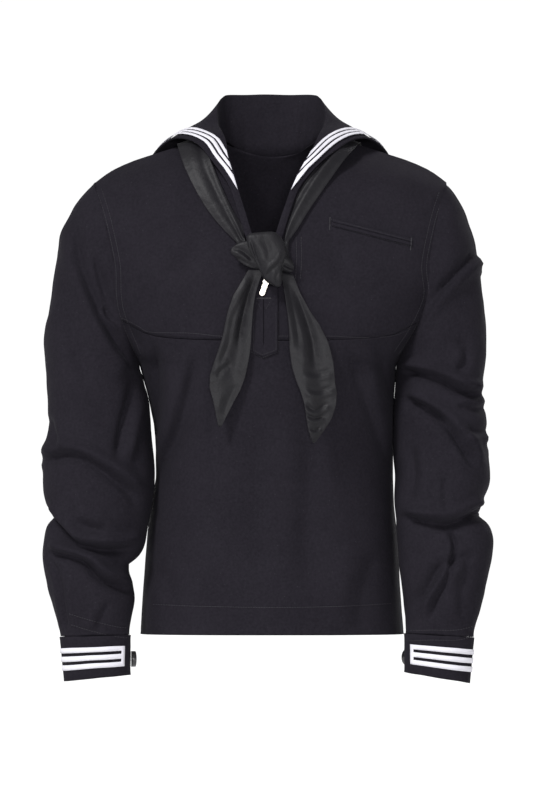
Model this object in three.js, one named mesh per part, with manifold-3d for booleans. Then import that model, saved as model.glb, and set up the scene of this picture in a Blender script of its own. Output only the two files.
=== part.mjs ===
// Sailor jumper of heavy wool, worn shape with nobody in it. Millimetres, +Z up, the front faces -Y.
// The origin is at the base of the neck, level with the back neck seam.
import * as THREE from "three";
import { mergeVertices } from "three/addons/utils/BufferGeometryUtils.js";
import Module from "manifold-3d";

const wasm = await Module();
wasm.setup();

// Driving sizes of the cloth
const WOOL = 1.6;
const COLLAR_CLOTH = 1.9;
const SILK = 1.5;
const TAPE = 0.7;
const SEAM = 0.4;
const REST = 0.5;

// Driving sizes of the body
const HEM_Z = -596;
const UNDERARM_Z = -258;
const TIP_Z = -31;
const NECK_POINT_X = 66;
const NECK_POINT_Z = 31;
const BACK_NECK_Z = 0;
const SIDE_SEAM_Y = 2;
const ARMHOLE_DEPTH = 70;
const SHOULDER_Y = 12;
const SHOULDER_TURN = 40;
const ROUNDNESS = 2.4;
const V_LEAN = -9;

const { clamp, smoothstep, degToRad } = THREE.MathUtils;
const mix = THREE.MathUtils.lerp;
const signOf = (x) => (x < 0 ? -1 : 1);
const vec = (x, y, z) => new THREE.Vector3(x, y, z);
const steps = (from, to, count) => Array.from({ length: count + 1 }, (_, i) => mix(from, to, i / count));

/**
 * Reads a table by its first column, smoothly between rows. Each row holds the numbers under the
 * column names.
 */
function table(names, rows) {
  const columns = names.split(" ");
  const slope = (i, c) => {
    const a = rows[Math.max(i - 1, 0)];
    const b = rows[Math.min(i + 1, rows.length - 1)];
    return (b[c] - a[c]) / (b[0] - a[0]);
  };
  const read = (key) => {
    const at = clamp(key, rows[0][0], rows[rows.length - 1][0]);
    let i = 0;
    while (i < rows.length - 2 && at > rows[i + 1][0]) i++;
    const span = rows[i + 1][0] - rows[i][0];
    const t = (at - rows[i][0]) / span;
    const found = {};
    columns.forEach((name, c) => {
      const rise = rows[i + 1][c] - rows[i][c];
      const start = slope(i, c) * span;
      const end = slope(i + 1, c) * span;
      const bend = 3 * rise - 2 * start - end + t * (start + end - 2 * rise);
      found[name] = rows[i][c] + t * (start + t * bend);
    });
    return found;
  };
  read.last = rows[rows.length - 1][0];
  return read;
}

// Horizontal sections of the body: how far it reaches to each side, and where the middle of the
// front and back lie.
// cut is how far round the section's curve the panel goes, 90 where it meets the side seam.
const TORSO = table("z left right front back cut", [
  [-600, 164, 167, -116, 106, 90],
  [-552, 161, 163, -113, 101, 90],
  [-480, 156, 159, -111, 97, 90],
  [-430, 150, 154, -112, 96, 90],
  [-390, 144, 153, -114, 98, 90],
  [-330, 148, 154, -119, 104, 90],
  [-285, 157, 155, -122, 110, 90],
  [-258, 165, 157, -122, 113, 88],
  [-215, 184, 180, -121, 115, 66],
  [-172, 195, 198, -116, 114, 58],
  [-135, 196, 197, -109, 111, 55],
  [-92, 205, 204, -98, 104, 57],
  [-60, 214, 212, -86, 96, 62],
  [-31, 222, 220, -74, 86, 72],
  [-15, 200, 199, -66, 79, 76],
  [-3, 174, 172, -60, 73, 79],
  [6, 147, 146, -55, 69, 80],
  [20, 102, 102, -46, 62, 80],
  [31, 66, 66, -38, 54, 80],
]);

// Height of the shoulder seam above each distance from the middle, and of the yoke seam across the chest.
const SHOULDER = table("x z", [[66, 31], [102, 20], [147, 6], [174, -3], [200, -15], [222, -31]]);
const YOKE_SEAM = table("x z", [[0, -229], [100, -227], [150, -222], [172, -212], [190, -201.5]]);

// Inner edge of a front yoke, from the yoke seam up the opening, up the V and to the neck point.
const V_EDGE = table("step x z", [
  [0, 0.3, -229],
  [1, 0.3, -190],
  [2, 0.6, -152],
  [3, 16, -103],
  [4, 31, -52],
  [5, 49, -8],
  [6, 66, 31],
]);
const YOKE_CLEAR = 0.72;

/** How far the front opening's line lies from the middle at a height: it leans away below the neck. */
const leanAt = (z) => V_LEAN * (1 - smoothstep(z, -60, 40));

// Long soft folds of the body seen from the front and from the back: where each starts and ends,
// depth and half width.
const FRONT_FOLDS = [
  { x: -100, z: -235, x2: -152, z2: -400, deep: -7, wide: 16 },
  { x: -122, z: -250, x2: -147, z2: -420, deep: 6, wide: 15 },
  { x: 104, z: -300, x2: 136, z2: -372, deep: 5, wide: 18 },
  { x: -60, z: -540, x2: -44, z2: -600, deep: 3, wide: 26 },
  { x: 62, z: -520, x2: 78, z2: -600, deep: 3, wide: 26 },
];
const BACK_FOLDS = [
  { x: -112, z: -250, x2: -60, z2: -400, deep: 6, wide: 22 },
  { x: 118, z: -246, x2: 72, z2: -380, deep: 6, wide: 20 },
  { x: -30, z: -500, x2: -46, z2: -600, deep: 4, wide: 28 },
  { x: 70, z: -510, x2: 88, z2: -600, deep: 4, wide: 26 },
];

/**
 * How deep the folds press the cloth in at a place seen from the front or back. A negative depth is
 * a ridge.
 */
function foldDepth(folds, x, z) {
  let depth = 0;
  for (const fold of folds) {
    const run = { x: fold.x2 - fold.x, z: fold.z2 - fold.z };
    const length = Math.hypot(run.x, run.z);
    const along = ((x - fold.x) * run.x + (z - fold.z) * run.z) / (length * length);
    const t = clamp(along, 0, 1);
    const away = Math.hypot(x - fold.x - t * run.x, z - fold.z - t * run.z) / fold.wide;
    depth += fold.deep * Math.exp(-away * away) * Math.sin(Math.PI * (0.15 + 0.7 * t));
  }
  return depth;
}

/** Angle round the armhole at a height, 0 at the shoulder tip and a half turn at the underarm. */
function armholeAngle(z) {
  const middle = (TIP_Z + UNDERARM_Z) / 2;
  return Math.acos(clamp((z - middle) / (TIP_Z - middle), -1, 1));
}

/**
 * Y of a panel's edge at a height: the side seam, the armhole or the shoulder seam. face is -1
 * front, 1 back.
 */
function edgeY(face, z) {
  const half = (face * SEAM) / 2;
  if (z <= UNDERARM_Z) return SIDE_SEAM_Y + half;
  if (z >= TIP_Z) return mix(SIDE_SEAM_Y, SHOULDER_Y, Math.min((z - TIP_Z) / SHOULDER_TURN, 1)) + half;
  return SIDE_SEAM_Y + face * (SEAM / 2 + ARMHOLE_DEPTH * Math.sin(armholeAngle(z)));
}

/** Share of the way from the middle to the edge at an angle round the section, across and in depth. */
function sectionShare(angle, cut) {
  const power = 2 / ROUNDNESS;
  return {
    across: (Math.sin(angle) / Math.sin(cut)) ** power,
    deep: (1 - Math.max(Math.cos(angle), 0) ** power) / (1 - Math.max(Math.cos(cut), 0) ** power),
  };
}

/** Y of the front or back surface at a place seen from the front. */
function torsoY(face, x, z) {
  const row = TORSO(z);
  const reach = x < 0 ? row.left : row.right;
  const cut = degToRad(Math.min(row.cut, 89.9));
  const angle = Math.asin(Math.min(Math.abs(x) / reach, 1) ** (ROUNDNESS / 2) * Math.sin(cut));
  const middle = face < 0 ? row.front : row.back;
  const y = mix(middle, edgeY(face, z), sectionShare(angle, cut).deep);
  const calm = 1 - (Math.abs(x) / reach) ** 6;
  return y - face * calm * foldDepth(face < 0 ? FRONT_FOLDS : BACK_FOLDS, x, z);
}

/** A place on the front or back surface, moved out square to it. */
function onTorso(face, x, z, lift = 0) {
  const step = 1.5;
  const here = vec(x, torsoY(face, x, z), z);
  if (lift === 0) return here;
  const side = vec(2 * step, torsoY(face, x + step, z) - torsoY(face, x - step, z), 0);
  const up = vec(0, torsoY(face, x, z + step) - torsoY(face, x, z - step), 2 * step);
  const normal = side.cross(up).normalize().multiplyScalar(-face * lift);
  return here.add(normal);
}

/**
 * A closed wall of cloth over a grid. place(u, v) is its outer face, out is 1 or -1 for the side
 * that faces out.
 */
function clothWall({ us, vs, place, wall, out = 1, wrap = false, square = null, filled = () => true }) {
  const nu = us.length;
  const nv = vs.length;
  const outer = us.map((u) => vs.map((v) => place(u, v)));
  const at = (i, j) => outer[wrap ? (i + nu) % nu : clamp(i, 0, nu - 1)][clamp(j, 0, nv - 1)];
  const inner = us.map((u, i) => vs.map((v, j) => {
    const du = at(i + 1, j).clone().sub(at(i - 1, j));
    const dv = at(i, j + 1).clone().sub(at(i, j - 1));
    const normal = du.cross(dv).multiplyScalar(out);
    if (square) square(normal, i, j, nu, nv);
    return outer[i][j].clone().sub(normal.normalize().multiplyScalar(wall));
  }));
  const points = [];
  for (const line of [...outer, ...inner]) {
    for (const p of line) points.push(p.x, p.y, p.z);
  }
  const id = (layer, i, j) => layer * nu * nv + (wrap ? i % nu : i) * nv + j;
  const faces = [];
  const quad = (a, b, c, d) => faces.push(a, b, c, a, c, d);
  const cells = wrap ? nu : nu - 1;
  const inRange = (i, j) => j >= 0 && j < nv - 1 && (wrap || (i >= 0 && i < cells));
  const has = (i, j) => inRange(i, j) && filled((i + cells) % cells, j);
  for (let i = 0; i < cells; i++) {
    for (let j = 0; j < nv - 1; j++) {
      if (!has(i, j)) continue;
      quad(id(0, i, j), id(0, i + 1, j), id(0, i + 1, j + 1), id(0, i, j + 1));
      quad(id(1, i, j), id(1, i, j + 1), id(1, i + 1, j + 1), id(1, i + 1, j));
      if (!has(i - 1, j)) quad(id(0, i, j), id(0, i, j + 1), id(1, i, j + 1), id(1, i, j));
      if (!has(i + 1, j)) quad(id(0, i + 1, j + 1), id(0, i + 1, j), id(1, i + 1, j), id(1, i + 1, j + 1));
      if (!has(i, j - 1)) quad(id(0, i + 1, j), id(0, i, j), id(1, i, j), id(1, i + 1, j));
      if (!has(i, j + 1)) quad(id(0, i, j + 1), id(0, i + 1, j + 1), id(1, i + 1, j + 1), id(1, i, j + 1));
    }
  }
  return solidOf(points, faces);
}

/** A geometry from points and triangles, turned to face outwards, without unused points. */
function solidOf(points, faces) {
  const corner = (k) => vec(points[3 * k], points[3 * k + 1], points[3 * k + 2]);
  let volume = 0;
  for (let f = 0; f < faces.length; f += 3) {
    volume += corner(faces[f]).dot(corner(faces[f + 1]).cross(corner(faces[f + 2])));
  }
  const ordered = volume < 0 ? faces.slice().reverse() : faces;
  const geometry = new THREE.BufferGeometry();
  geometry.setAttribute("position", new THREE.Float32BufferAttribute(points, 3));
  geometry.setIndex(ordered);
  const merged = mergeVertices(geometry.toNonIndexed(), 1e-4);
  merged.computeVertexNormals();
  return merged;
}

// Materials
function finish(color, roughness, metalness = 0) {
  return new THREE.MeshStandardMaterial({ color, roughness, metalness });
}
const WOOL_CLOTH = finish(0x27252b, 0.95);
const SILK_CLOTH = finish(0x333336, 0.55);
const WHITE_TAPE = finish(0xe8e6f0, 0.8);
const BUTTON_HORN = finish(0x17171a, 0.3);
const ZIP_METAL = finish(0xc8c6c2, 0.35, 1);

const jumper = new THREE.Group();

/** Adds a named piece to the jumper. */
function piece(name, geometry, material) {
  const mesh = new THREE.Mesh(geometry, material.clone());
  mesh.name = name;
  jumper.add(mesh);
  return mesh;
}

// Columns of the body panels on each side of the opening's line, closer together where the section turns
const SIDE_COLUMNS = 11;
const BODY_COLUMNS = steps(-1, 1, 2 * SIDE_COLUMNS);
const COLUMN_SWEEP = degToRad(84);
const columnShare = (t) => sectionShare(Math.abs(t) * COLUMN_SWEEP, COLUMN_SWEEP).across;

// Levels of the body's sections below the underarm, and turns from the underarm up the armhole to
// the shoulder tip
const LEVELS = [HEM_Z, -570, -536, -502, -468, -434, -400, -366, -332, -298, UNDERARM_Z];
const TURN_COUNT = 18;
const ARMHOLE_RISES = steps(0, 1, TURN_COUNT / 2).slice(1).map((t) => (1 - Math.cos(t * Math.PI)) / 2);
const YOKE_RISE = 3;

/** How far the body reaches at a height on a side, -1 or 1. */
const reachAt = (side, z) => (side < 0 ? TORSO(z).left : TORSO(z).right);

/** X of a column at a level whose edge is at a height. The columns start at the line of the front opening. */
const columnX = (t, edgeZ) => mix(V_LEAN, signOf(t) * reachAt(signOf(t), edgeZ), columnShare(t));

const riseZ = (rise) => mix(UNDERARM_Z, TIP_Z, rise);
const SEAM_END_Z = riseZ(ARMHOLE_RISES[YOKE_RISE - 1]);
const yokeSeamZ = (x) => (Math.abs(x) < 190 ? YOKE_SEAM(Math.abs(x)).z : SEAM_END_Z);

/** Where a column meets the yoke seam. */
function seamPlace(t) {
  const x = columnX(t, SEAM_END_Z);
  return { x, z: Math.abs(t) === 1 ? SEAM_END_Z : Math.min(yokeSeamZ(x), SEAM_END_Z) };
}

/** The front below the yoke seam: hem to underarm level, then up the armholes to the seam. */
function frontBody() {
  const place = (t, v) => {
    if (v <= UNDERARM_Z) return onTorso(-1, columnX(t, v), v);
    const edgeZ = riseZ(v);
    const share = (edgeZ - UNDERARM_Z) / (SEAM_END_Z - UNDERARM_Z);
    const z = mix(UNDERARM_Z, seamPlace(t).z, share);
    return onTorso(-1, columnX(t, edgeZ), z);
  };
  return clothWall({
    us: BODY_COLUMNS,
    vs: [...LEVELS, ...ARMHOLE_RISES.slice(0, YOKE_RISE)],
    place,
    wall: WOOL,
    square: (normal, i, j, nu, nv) => {
      if ((i === 0 || i === nu - 1) && j < LEVELS.length) normal.y = 0;
      if (j === nv - 1) normal.z = 0;
    },
  });
}
piece("front_body", frontBody(), WOOL_CLOTH);

/** A front yoke. side is -1 for the wearer's right, 1 for the wearer's left. */
function frontYoke(side) {
  const last = V_EDGE.last;
  const tipX = reachAt(side, TIP_Z);
  const place = (t, step) => {
    const share = columnShare(t);
    const edgeZ = riseZ(ARMHOLE_RISES[YOKE_RISE - 1 + step]);
    const edge = V_EDGE(step);
    const x = mix(side * edge.x + leanAt(edge.z), side * reachAt(side, edgeZ), share);
    const low = seamPlace(side * t).z - mix(seamPlace(0).z, SEAM_END_Z, share);
    const high = SHOULDER(mix(NECK_POINT_X, tipX, share)).z - mix(NECK_POINT_Z, TIP_Z, share);
    const rise = step / last;
    const z = mix(edge.z, edgeZ, share) + (1 - rise) * (low + YOKE_CLEAR) + rise * high;
    return onTorso(-1, x, z);
  };
  return clothWall({
    us: steps(0, 1, SIDE_COLUMNS),
    vs: steps(0, last, last),
    place,
    wall: WOOL,
    out: side,
    square: (normal, i, j, nu, nv) => {
      if (j === 0) normal.z = 0;
      if (j === nv - 1) normal.y = 0;
    },
  });
}
piece("front_yoke_right", frontYoke(-1), WOOL_CLOTH);
piece("front_yoke_left", frontYoke(1), WOOL_CLOTH);

/** Height of the back's top edge: the back neck curve, then the shoulder seam. */
function backTop(x) {
  const from = Math.abs(x);
  if (from >= NECK_POINT_X) return SHOULDER(from).z;
  return mix(BACK_NECK_Z, NECK_POINT_Z, (from / NECK_POINT_X) ** 2.2);
}

/** The back, in one panel from the hem to the neck and shoulders. */
function backBody() {
  const place = (t, v) => {
    if (v <= UNDERARM_Z) return onTorso(1, columnX(-t, v), v);
    const x = columnX(-t, riseZ(v));
    const top = Math.abs(t) === 1 ? TIP_Z : backTop(columnX(-t, TIP_Z));
    return onTorso(1, x, mix(UNDERARM_Z, top, v));
  };
  return clothWall({
    us: BODY_COLUMNS,
    vs: [...LEVELS, ...ARMHOLE_RISES],
    place,
    wall: WOOL,
    square: (normal, i, j, nu, nv) => {
      if ((i === 0 || i === nu - 1) && j < LEVELS.length) normal.y = 0;
      if (j === nv - 1) normal.y = 0;
    },
  });
}
piece("back_body", backBody(), WOOL_CLOTH);

// Sections of each sleeve from the armhole to the cuff seam: the outermost and innermost point seen
// from the front,
// how far the middle lies from the side seam's depth, and half the depth.
const SLEEVES = {
  right: table("step outX outZ inX inZ middle depth", [
    [0, 222, -31, 165.5, -258, 0, 70],
    [1, 237, -40, 166, -268, 0, 71],
    [2, 254, -65, 162, -283, -2, 71],
    [3, 265, -102, 158, -301, -6, 70],
    [4, 275, -152, 154.5, -320, -11, 68],
    [5, 281, -202, 151.5, -341, -16, 66],
    [6, 285, -240, 149.5, -363, -20, 64],
    [7, 282, -277, 148, -384, -24, 62],
    [8, 280, -309, 148.5, -405, -28, 60],
    [9, 282, -340, 150.5, -425, -31, 59],
    [10, 285, -371, 153, -444, -34, 59],
    [11, 291, -402, 155.5, -462, -37, 60],
    [12, 293, -423, 157.5, -477, -40, 59],
    [13, 285, -440, 159.5, -489, -42, 55],
    [14, 288, -465, 168, -499, -44, 51],
    [15, 291, -487, 181, -508, -46, 47],
    [16, 289, -507, 181, -520, -47, 45],
    [17, 282, -530, 174, -536, -48, 43],
    [18, 275, -554, 168, -555, -49, 40],
    [19, 269, -578, 174, -577, -50, 36],
    [20, 264, -598, 177, -596, -51, 31],
  ]),
  left: table("step outX outZ inX inZ middle depth", [
    [0, 220, -31, 157.5, -258, 0, 70],
    [1, 233, -42, 160, -268, 0, 71],
    [2, 247, -65, 159, -284, -2, 71],
    [3, 259, -102, 157.5, -302, -6, 70],
    [4, 266, -152, 156.5, -321, -11, 68],
    [5, 270, -202, 156, -342, -16, 66],
    [6, 273, -240, 155.5, -363, -20, 64],
    [7, 270, -276, 155.3, -383, -24, 61],
    [8, 269, -296, 155.3, -400, -28, 59],
    [9, 275, -321, 156, -418, -31, 58],
    [10, 274, -352, 157, -434, -34, 58],
    [11, 281, -390, 158.5, -450, -37, 58],
    [12, 274, -416, 159.5, -462, -40, 56],
    [13, 268, -440, 161, -473, -42, 53],
    [14, 275, -456, 162, -484, -44, 50],
    [15, 282, -479, 162.8, -496, -46, 47],
    [16, 277, -502, 163.4, -511, -47, 45],
    [17, 271, -528, 164, -531, -48, 43],
    [18, 266, -553, 165, -552, -49, 40],
    [19, 259, -577, 166.5, -575, -50, 36],
    [20, 254, -599, 168, -594, -51, 31],
  ]),
};

// The largest sleeve folds: the step and the turn where each starts and ends, in whole turns from
// the outer side
// forward, with depth and half widths in steps and in turns.
const SLEEVE_FOLDS = {
  right: [
    { step: 1.5, turn: 0.1, step2: 6.5, turn2: 0.34, deep: 8, wide: 0.8 },
    { step: 1, turn: 0.28, step2: 5, turn2: 0.43, deep: 7, wide: 0.7 },
    { step: 7, turn: 0.2, step2: 6.2, turn2: 0.44, deep: 6, wide: 0.6 },
    { step: 11.6, turn: 0.02, step2: 12.8, turn2: 0.42, deep: 8, wide: 0.8 },
    { step: 13.2, turn: -0.06, step2: 14.6, turn2: 0.34, deep: 7, wide: 0.7 },
    { step: 15.4, turn: 0, step2: 17, turn2: 0.4, deep: 6, wide: 0.6 },
    { step: 3, turn: -0.34, step2: 8, turn2: -0.16, deep: 7, wide: 0.9 },
    { step: 11, turn: -0.4, step2: 13, turn2: -0.12, deep: 7, wide: 0.8 },
  ],
  left: [
    { step: 2.4, turn: 0.06, step2: 8, turn2: 0.42, deep: 8, wide: 0.8 },
    { step: 7.6, turn: 0, step2: 6.4, turn2: 0.42, deep: 9, wide: 0.7 },
    { step: 10.2, turn: 0.04, step2: 8.2, turn2: 0.42, deep: 9, wide: 0.8 },
    { step: 12.8, turn: 0.02, step2: 13.2, turn2: 0.3, deep: 8, wide: 0.8 },
    { step: 13.6, turn: 0.24, step2: 18, turn2: 0.3, deep: 5, wide: 0.7 },
    { step: 3, turn: -0.34, step2: 8, turn2: -0.14, deep: 7, wide: 0.9 },
    { step: 11, turn: -0.4, step2: 13, turn2: -0.1, deep: 7, wide: 0.8 },
  ],
};
const TURN_AS_STEPS = 9;
const ARMHOLE_BOW = 13;
const LAST_STEP = 20;
const SIDES = { right: -1, left: 1 };

/** A place on a sleeve: step along it, turn round it from its outer side forward. */
function sleevePoint(name, step, turn) {
  const side = SIDES[name];
  const row = SLEEVES[name](step);
  const angle = turn * 2 * Math.PI;
  const soft = (value) => signOf(value) * Math.abs(value) ** 0.9;
  const across = soft(Math.cos(angle));
  const middleX = (row.outX + row.inX) / 2;
  const middleZ = (row.outZ + row.inZ) / 2;
  const bow = ARMHOLE_BOW * Math.sin(angle) ** 2 * Math.max(1 - step / 6, 0);
  const x = middleX + ((row.outX - row.inX) / 2) * across + bow;
  const z = middleZ + ((row.outZ - row.inZ) / 2) * across;
  const y = SIDE_SEAM_Y + row.middle - row.depth * soft(Math.sin(angle));
  const tube = vec(side * x, y, z);
  let press = 0;
  for (const fold of SLEEVE_FOLDS[name]) {
    const run = { s: fold.step2 - fold.step, t: (fold.turn2 - fold.turn) * TURN_AS_STEPS };
    const off = { s: step - fold.step, t: (turn - fold.turn - Math.round(turn - fold.turn)) * TURN_AS_STEPS };
    const t = clamp((off.s * run.s + off.t * run.t) / (run.s ** 2 + run.t ** 2), 0, 1);
    const away = Math.hypot(off.s - t * run.s, off.t - t * run.t) / fold.wide;
    press += fold.deep * Math.exp(-away * away);
  }
  const middle = vec(side * middleX, SIDE_SEAM_Y + row.middle, middleZ);
  const toMiddle = middle.sub(tube);
  tube.add(toMiddle.normalize().multiplyScalar(press * Math.min(step, 1) * Math.min(LAST_STEP - step, 1)));
  if (step >= 1) return tube;
  const loopZ = mix(UNDERARM_Z, TIP_Z, (1 + Math.cos(angle)) / 2);
  const loopY = SIDE_SEAM_Y - ARMHOLE_DEPTH * Math.sin(angle);
  const loop = vec(side * (reachAt(side, loopZ) + SEAM), loopY, loopZ);
  return loop.lerp(tube, step);
}

const SLEEVE_STEPS = steps(0, LAST_STEP, LAST_STEP);
const TURNS_ROUND = steps(0, 1, TURN_COUNT).slice(0, -1);

/** A sleeve from the armhole to the cuff seam. */
function sleeve(name) {
  return clothWall({
    us: TURNS_ROUND,
    vs: SLEEVE_STEPS,
    place: (turn, step) => sleevePoint(name, step, turn),
    wall: WOOL,
    out: SIDES[name],
    wrap: true,
    square: (normal, i, j, nu, nv) => {
      if (j === 0) normal.x = 0;
      if (j === nv - 1) normal.z = 0;
    },
  });
}
piece("sleeve_right", sleeve("right"), WOOL_CLOTH);
piece("sleeve_left", sleeve("left"), WOOL_CLOTH);

// Cuffs: a band that goes a little more than once round and laps over itself at the inner side
const CUFF_DROP = 53;
const CUFF_START = -0.46;
const CUFF_LAP = 0.1;
const CUFF_TAPER = 3;
const CUFF_SHIFT = 2.5;
const CUFF_TILT = { right: 6, left: 9 };

/**
 * A place on a cuff's outer face: turn round it from its outer side forward, down from its seam,
 * moved out.
 */
function cuffPoint(name, turn, down, lift = 0) {
  const row = SLEEVES[name](LAST_STEP);
  const angle = turn * 2 * Math.PI;
  const grow = lift + (WOOL + REST) * (turn - CUFF_START) - CUFF_TAPER * (down / CUFF_DROP);
  const halfX = (row.outX - row.inX) / 2 + grow;
  const halfY = row.depth + grow;
  const x = (row.outX + row.inX) / 2 - CUFF_SHIFT * (down / CUFF_DROP) + halfX * Math.cos(angle);
  const y = SIDE_SEAM_Y + row.middle - halfY * Math.sin(angle);
  const seamZ = (row.outZ + row.inZ) / 2 + ((row.outZ - row.inZ) / 2) * Math.cos(angle) - SEAM;
  const tilt = (CUFF_TILT[name] / 2) * Math.cos(angle) * (down / CUFF_DROP);
  return vec(SIDES[name] * x, y, seamZ - down - tilt);
}

/** A cuff, open at its inner side where the band laps. */
function cuff(name) {
  return clothWall({
    us: steps(CUFF_START, CUFF_START + 1 + CUFF_LAP, 25),
    vs: steps(0, CUFF_DROP, 2),
    place: (turn, down) => cuffPoint(name, turn, down),
    wall: WOOL,
    out: SIDES[name],
    square: (normal, i, j) => {
      if (j === 0) normal.z = 0;
    },
  });
}

// White tape on a cuff: three stripes joined at both ends
const STRIPE = 6.2;
const STRIPE_GAP = 3.9;
const TAPE_TOP = 14;
const TAPE_FROM = -0.3;
const TAPE_TO = 0.4;
const END_TURN = 0.022;

/** The tape frame, made from the cuff's points moved out. */
function cuffTape(name) {
  const downs = [0, 1, 2].flatMap((k) => {
    const top = TAPE_TOP + k * (STRIPE + STRIPE_GAP);
    return [top, top + STRIPE];
  });
  const inner = steps(TAPE_FROM + END_TURN, TAPE_TO - END_TURN, 15);
  const turns = [TAPE_FROM, ...inner, TAPE_TO];
  return clothWall({
    us: turns,
    vs: downs,
    place: (turn, down) => cuffPoint(name, turn, down, REST + TAPE),
    wall: TAPE,
    out: SIDES[name],
    filled: (i, j) => j % 2 === 0 || i === 0 || i === turns.length - 2,
  });
}

// Cuff buttons stand on a short shank on the lap, at the inner side
const BUTTON = { radius: 10, rim: 3.4, dish: 1.2, shank: 2.2, stand: 1.6, round: 0.8 };
const BUTTON_SEAT = { right: 0.53, left: 0.6, down: 32 };

/** A dished button with its shank, turned about its own axis. */
function buttonGeometry() {
  const { radius, rim, dish, shank, stand, round } = BUTTON;
  const profile = [
    [0, 0], [shank, 0], [shank, stand], [radius * 0.8, stand], [radius, stand + round],
    [radius, stand + rim - round], [radius * 0.92, stand + rim], [radius * 0.78, stand + rim],
    [radius * 0.66, stand + rim - dish], [0, stand + rim - dish],
  ].map(([r, h]) => new THREE.Vector2(r, h));
  const lathe = new THREE.LatheGeometry(profile, 14);
  lathe.deleteAttribute("normal");
  lathe.deleteAttribute("uv");
  return mergeVertices(lathe, 1e-4);
}

for (const name of ["right", "left"]) {
  piece(`cuff_${name}`, cuff(name), WOOL_CLOTH);
  piece(`cuff_tape_${name}`, cuffTape(name), WHITE_TAPE);
  const seat = cuffPoint(name, BUTTON_SEAT[name], BUTTON_SEAT.down, REST);
  const outward = cuffPoint(name, BUTTON_SEAT[name], BUTTON_SEAT.down, REST + 1).sub(seat).normalize();
  const button = piece(`button_${name}`, buttonGeometry(), BUTTON_HORN);
  button.position.copy(seat);
  button.quaternion.setFromUnitVectors(vec(0, 1, 0), outward);
}

// Collar sections from the middle of the back to the bottom of the V, each from its seam over the
// roll to the edge.
// On the back flap, fall and edge are across, up and lift off the back. Over the shoulder all are
// places in space.
// Down the fronts, seam is a step of the V's edge and the rest are across, up and lift off the yoke.
const COLLAR_FLAP = [
  { seam: [0, 73, 0.5], roll: [0, 82, 82], fall: [0, -50, 12], edge: [0, -172, 8] },
  { seam: [22, 71, 3], roll: [26, 80, 82], fall: [42, -50, 12], edge: [58, -172, 8] },
  { seam: [42, 64, 13.5], roll: [47, 73, 82], fall: [84, -48, 12], edge: [116, -172, 8] },
  { seam: [52, 54.5, 21], roll: [57, 64, 81], fall: [108, -44, 12], edge: [163, -171.5, 8] },
  { seam: [54, 52, 21.5], roll: [59, 61, 80], fall: [112, -41, 12], edge: [170, -170, 8] },
  { seam: [56, 49, 23], roll: [60.5, 58, 78.5], fall: [115, -37, 12], edge: [170, -162, 8] },
  { seam: [60, 41, 27.5], roll: [64, 50, 75], fall: [120, -20, 13], edge: [168, -112, 10] },
];
const COLLAR_SHOULDER = [
  { seam: [63, 33, 30.5], roll: [66, 42, 70.5], fall: [114, 62, 16], edge: [162, 86, -56] },
  { seam: [64.5, 24, 32], roll: [67.5, 33, 64.5], fall: [110, 43, 31], edge: [155, 56, -8] },
  { seam: [65, 13, 33], roll: [68, 20, 56.5], fall: [106, 22, 39], edge: [142, 22, 14] },
  { seam: [62.5, -2, 30], roll: [67, 2, 45], fall: [98, -3, 38], edge: [124, -2, 26] },
  { seam: 5.7, roll: [61, -26, 33], fall: [84, -27, 32], edge: [106, -25, 25.5] },
  { seam: 5.45, roll: [56, -42, 21], fall: [73, -42, 23], edge: [92, -41, 18.5] },
];
const COLLAR_FRONT = [
  { seam: 5.2, roll: [49, -1, 9], fall: [62, -1, 10.5], edge: [75, -1, 9] },
  { seam: 4.85, roll: [42, -16, 9], fall: [52, -17, 9.5], edge: [60, -17, 8] },
  { seam: 4.3, roll: [33, -40, 8], fall: [38, -41, 8.5], edge: [42, -42, 6.5] },
  { seam: 3.75, roll: [24.5, -66, 7.5], fall: [29, -67, 8], edge: [33, -68, 6] },
  { seam: 3.2, roll: [16.5, -92, 7], fall: [21, -93, 7.5], edge: [25, -94, 5.5] },
  { seam: 2.65, roll: [7, -121, 6], fall: [11, -122, 6.2], edge: [15, -123, 4.6] },
  { seam: 2.2, roll: [0.8, -146, 5.6], fall: [4.5, -147, 5.8], edge: [8, -148, 4.4] },
];
const ROLL_TURN = 5.28;

/** The leading points of a collar section on one side, from the seam to the outer edge. side is -1 or 1. */
function collarSection({ seam, roll, fall, edge, kind }, side) {
  const inSpace = ([x, y, z]) => vec(side * x, y, z);
  const onBack = ([x, z, lift]) => onTorso(1, side * x, z, lift);
  const onFront = ([x, z, lift]) => onTorso(-1, side * x + leanAt(z), z, lift);
  const atEdge = (step) => {
    const { x, z } = V_EDGE(step);
    return onTorso(-1, side * (x - 2 * REST - COLLAR_CLOTH) + leanAt(z), z, -SEAM);
  };
  const first = Array.isArray(seam) ? inSpace(seam) : atEdge(seam);
  const put = { flap: onBack, shoulder: inSpace, front: onFront }[kind];
  const between = fall.map((value, k) => (value + edge[k]) / 2);
  return [first, kind === "flap" ? inSpace(roll) : put(roll), put(fall), put(between), put(edge)];
}

const collarLines = (() => {
  const half = [
    ...COLLAR_FLAP.map((row) => ({ ...row, kind: "flap" })),
    ...COLLAR_SHOULDER.map((row) => ({ ...row, kind: "shoulder" })),
    ...COLLAR_FRONT.map((row) => ({ ...row, kind: "front" })),
  ];
  const all = [
    ...half.slice(1).reverse().map((section) => collarSection(section, -1)),
    ...half.map((section) => collarSection(section, 1)),
  ];
  const lineOf = (k) => new THREE.CatmullRomCurve3(all.map((points) => points[k]), false, "centripetal");
  return [0, 1, 2, 3, 4].map(lineOf);
})();

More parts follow.
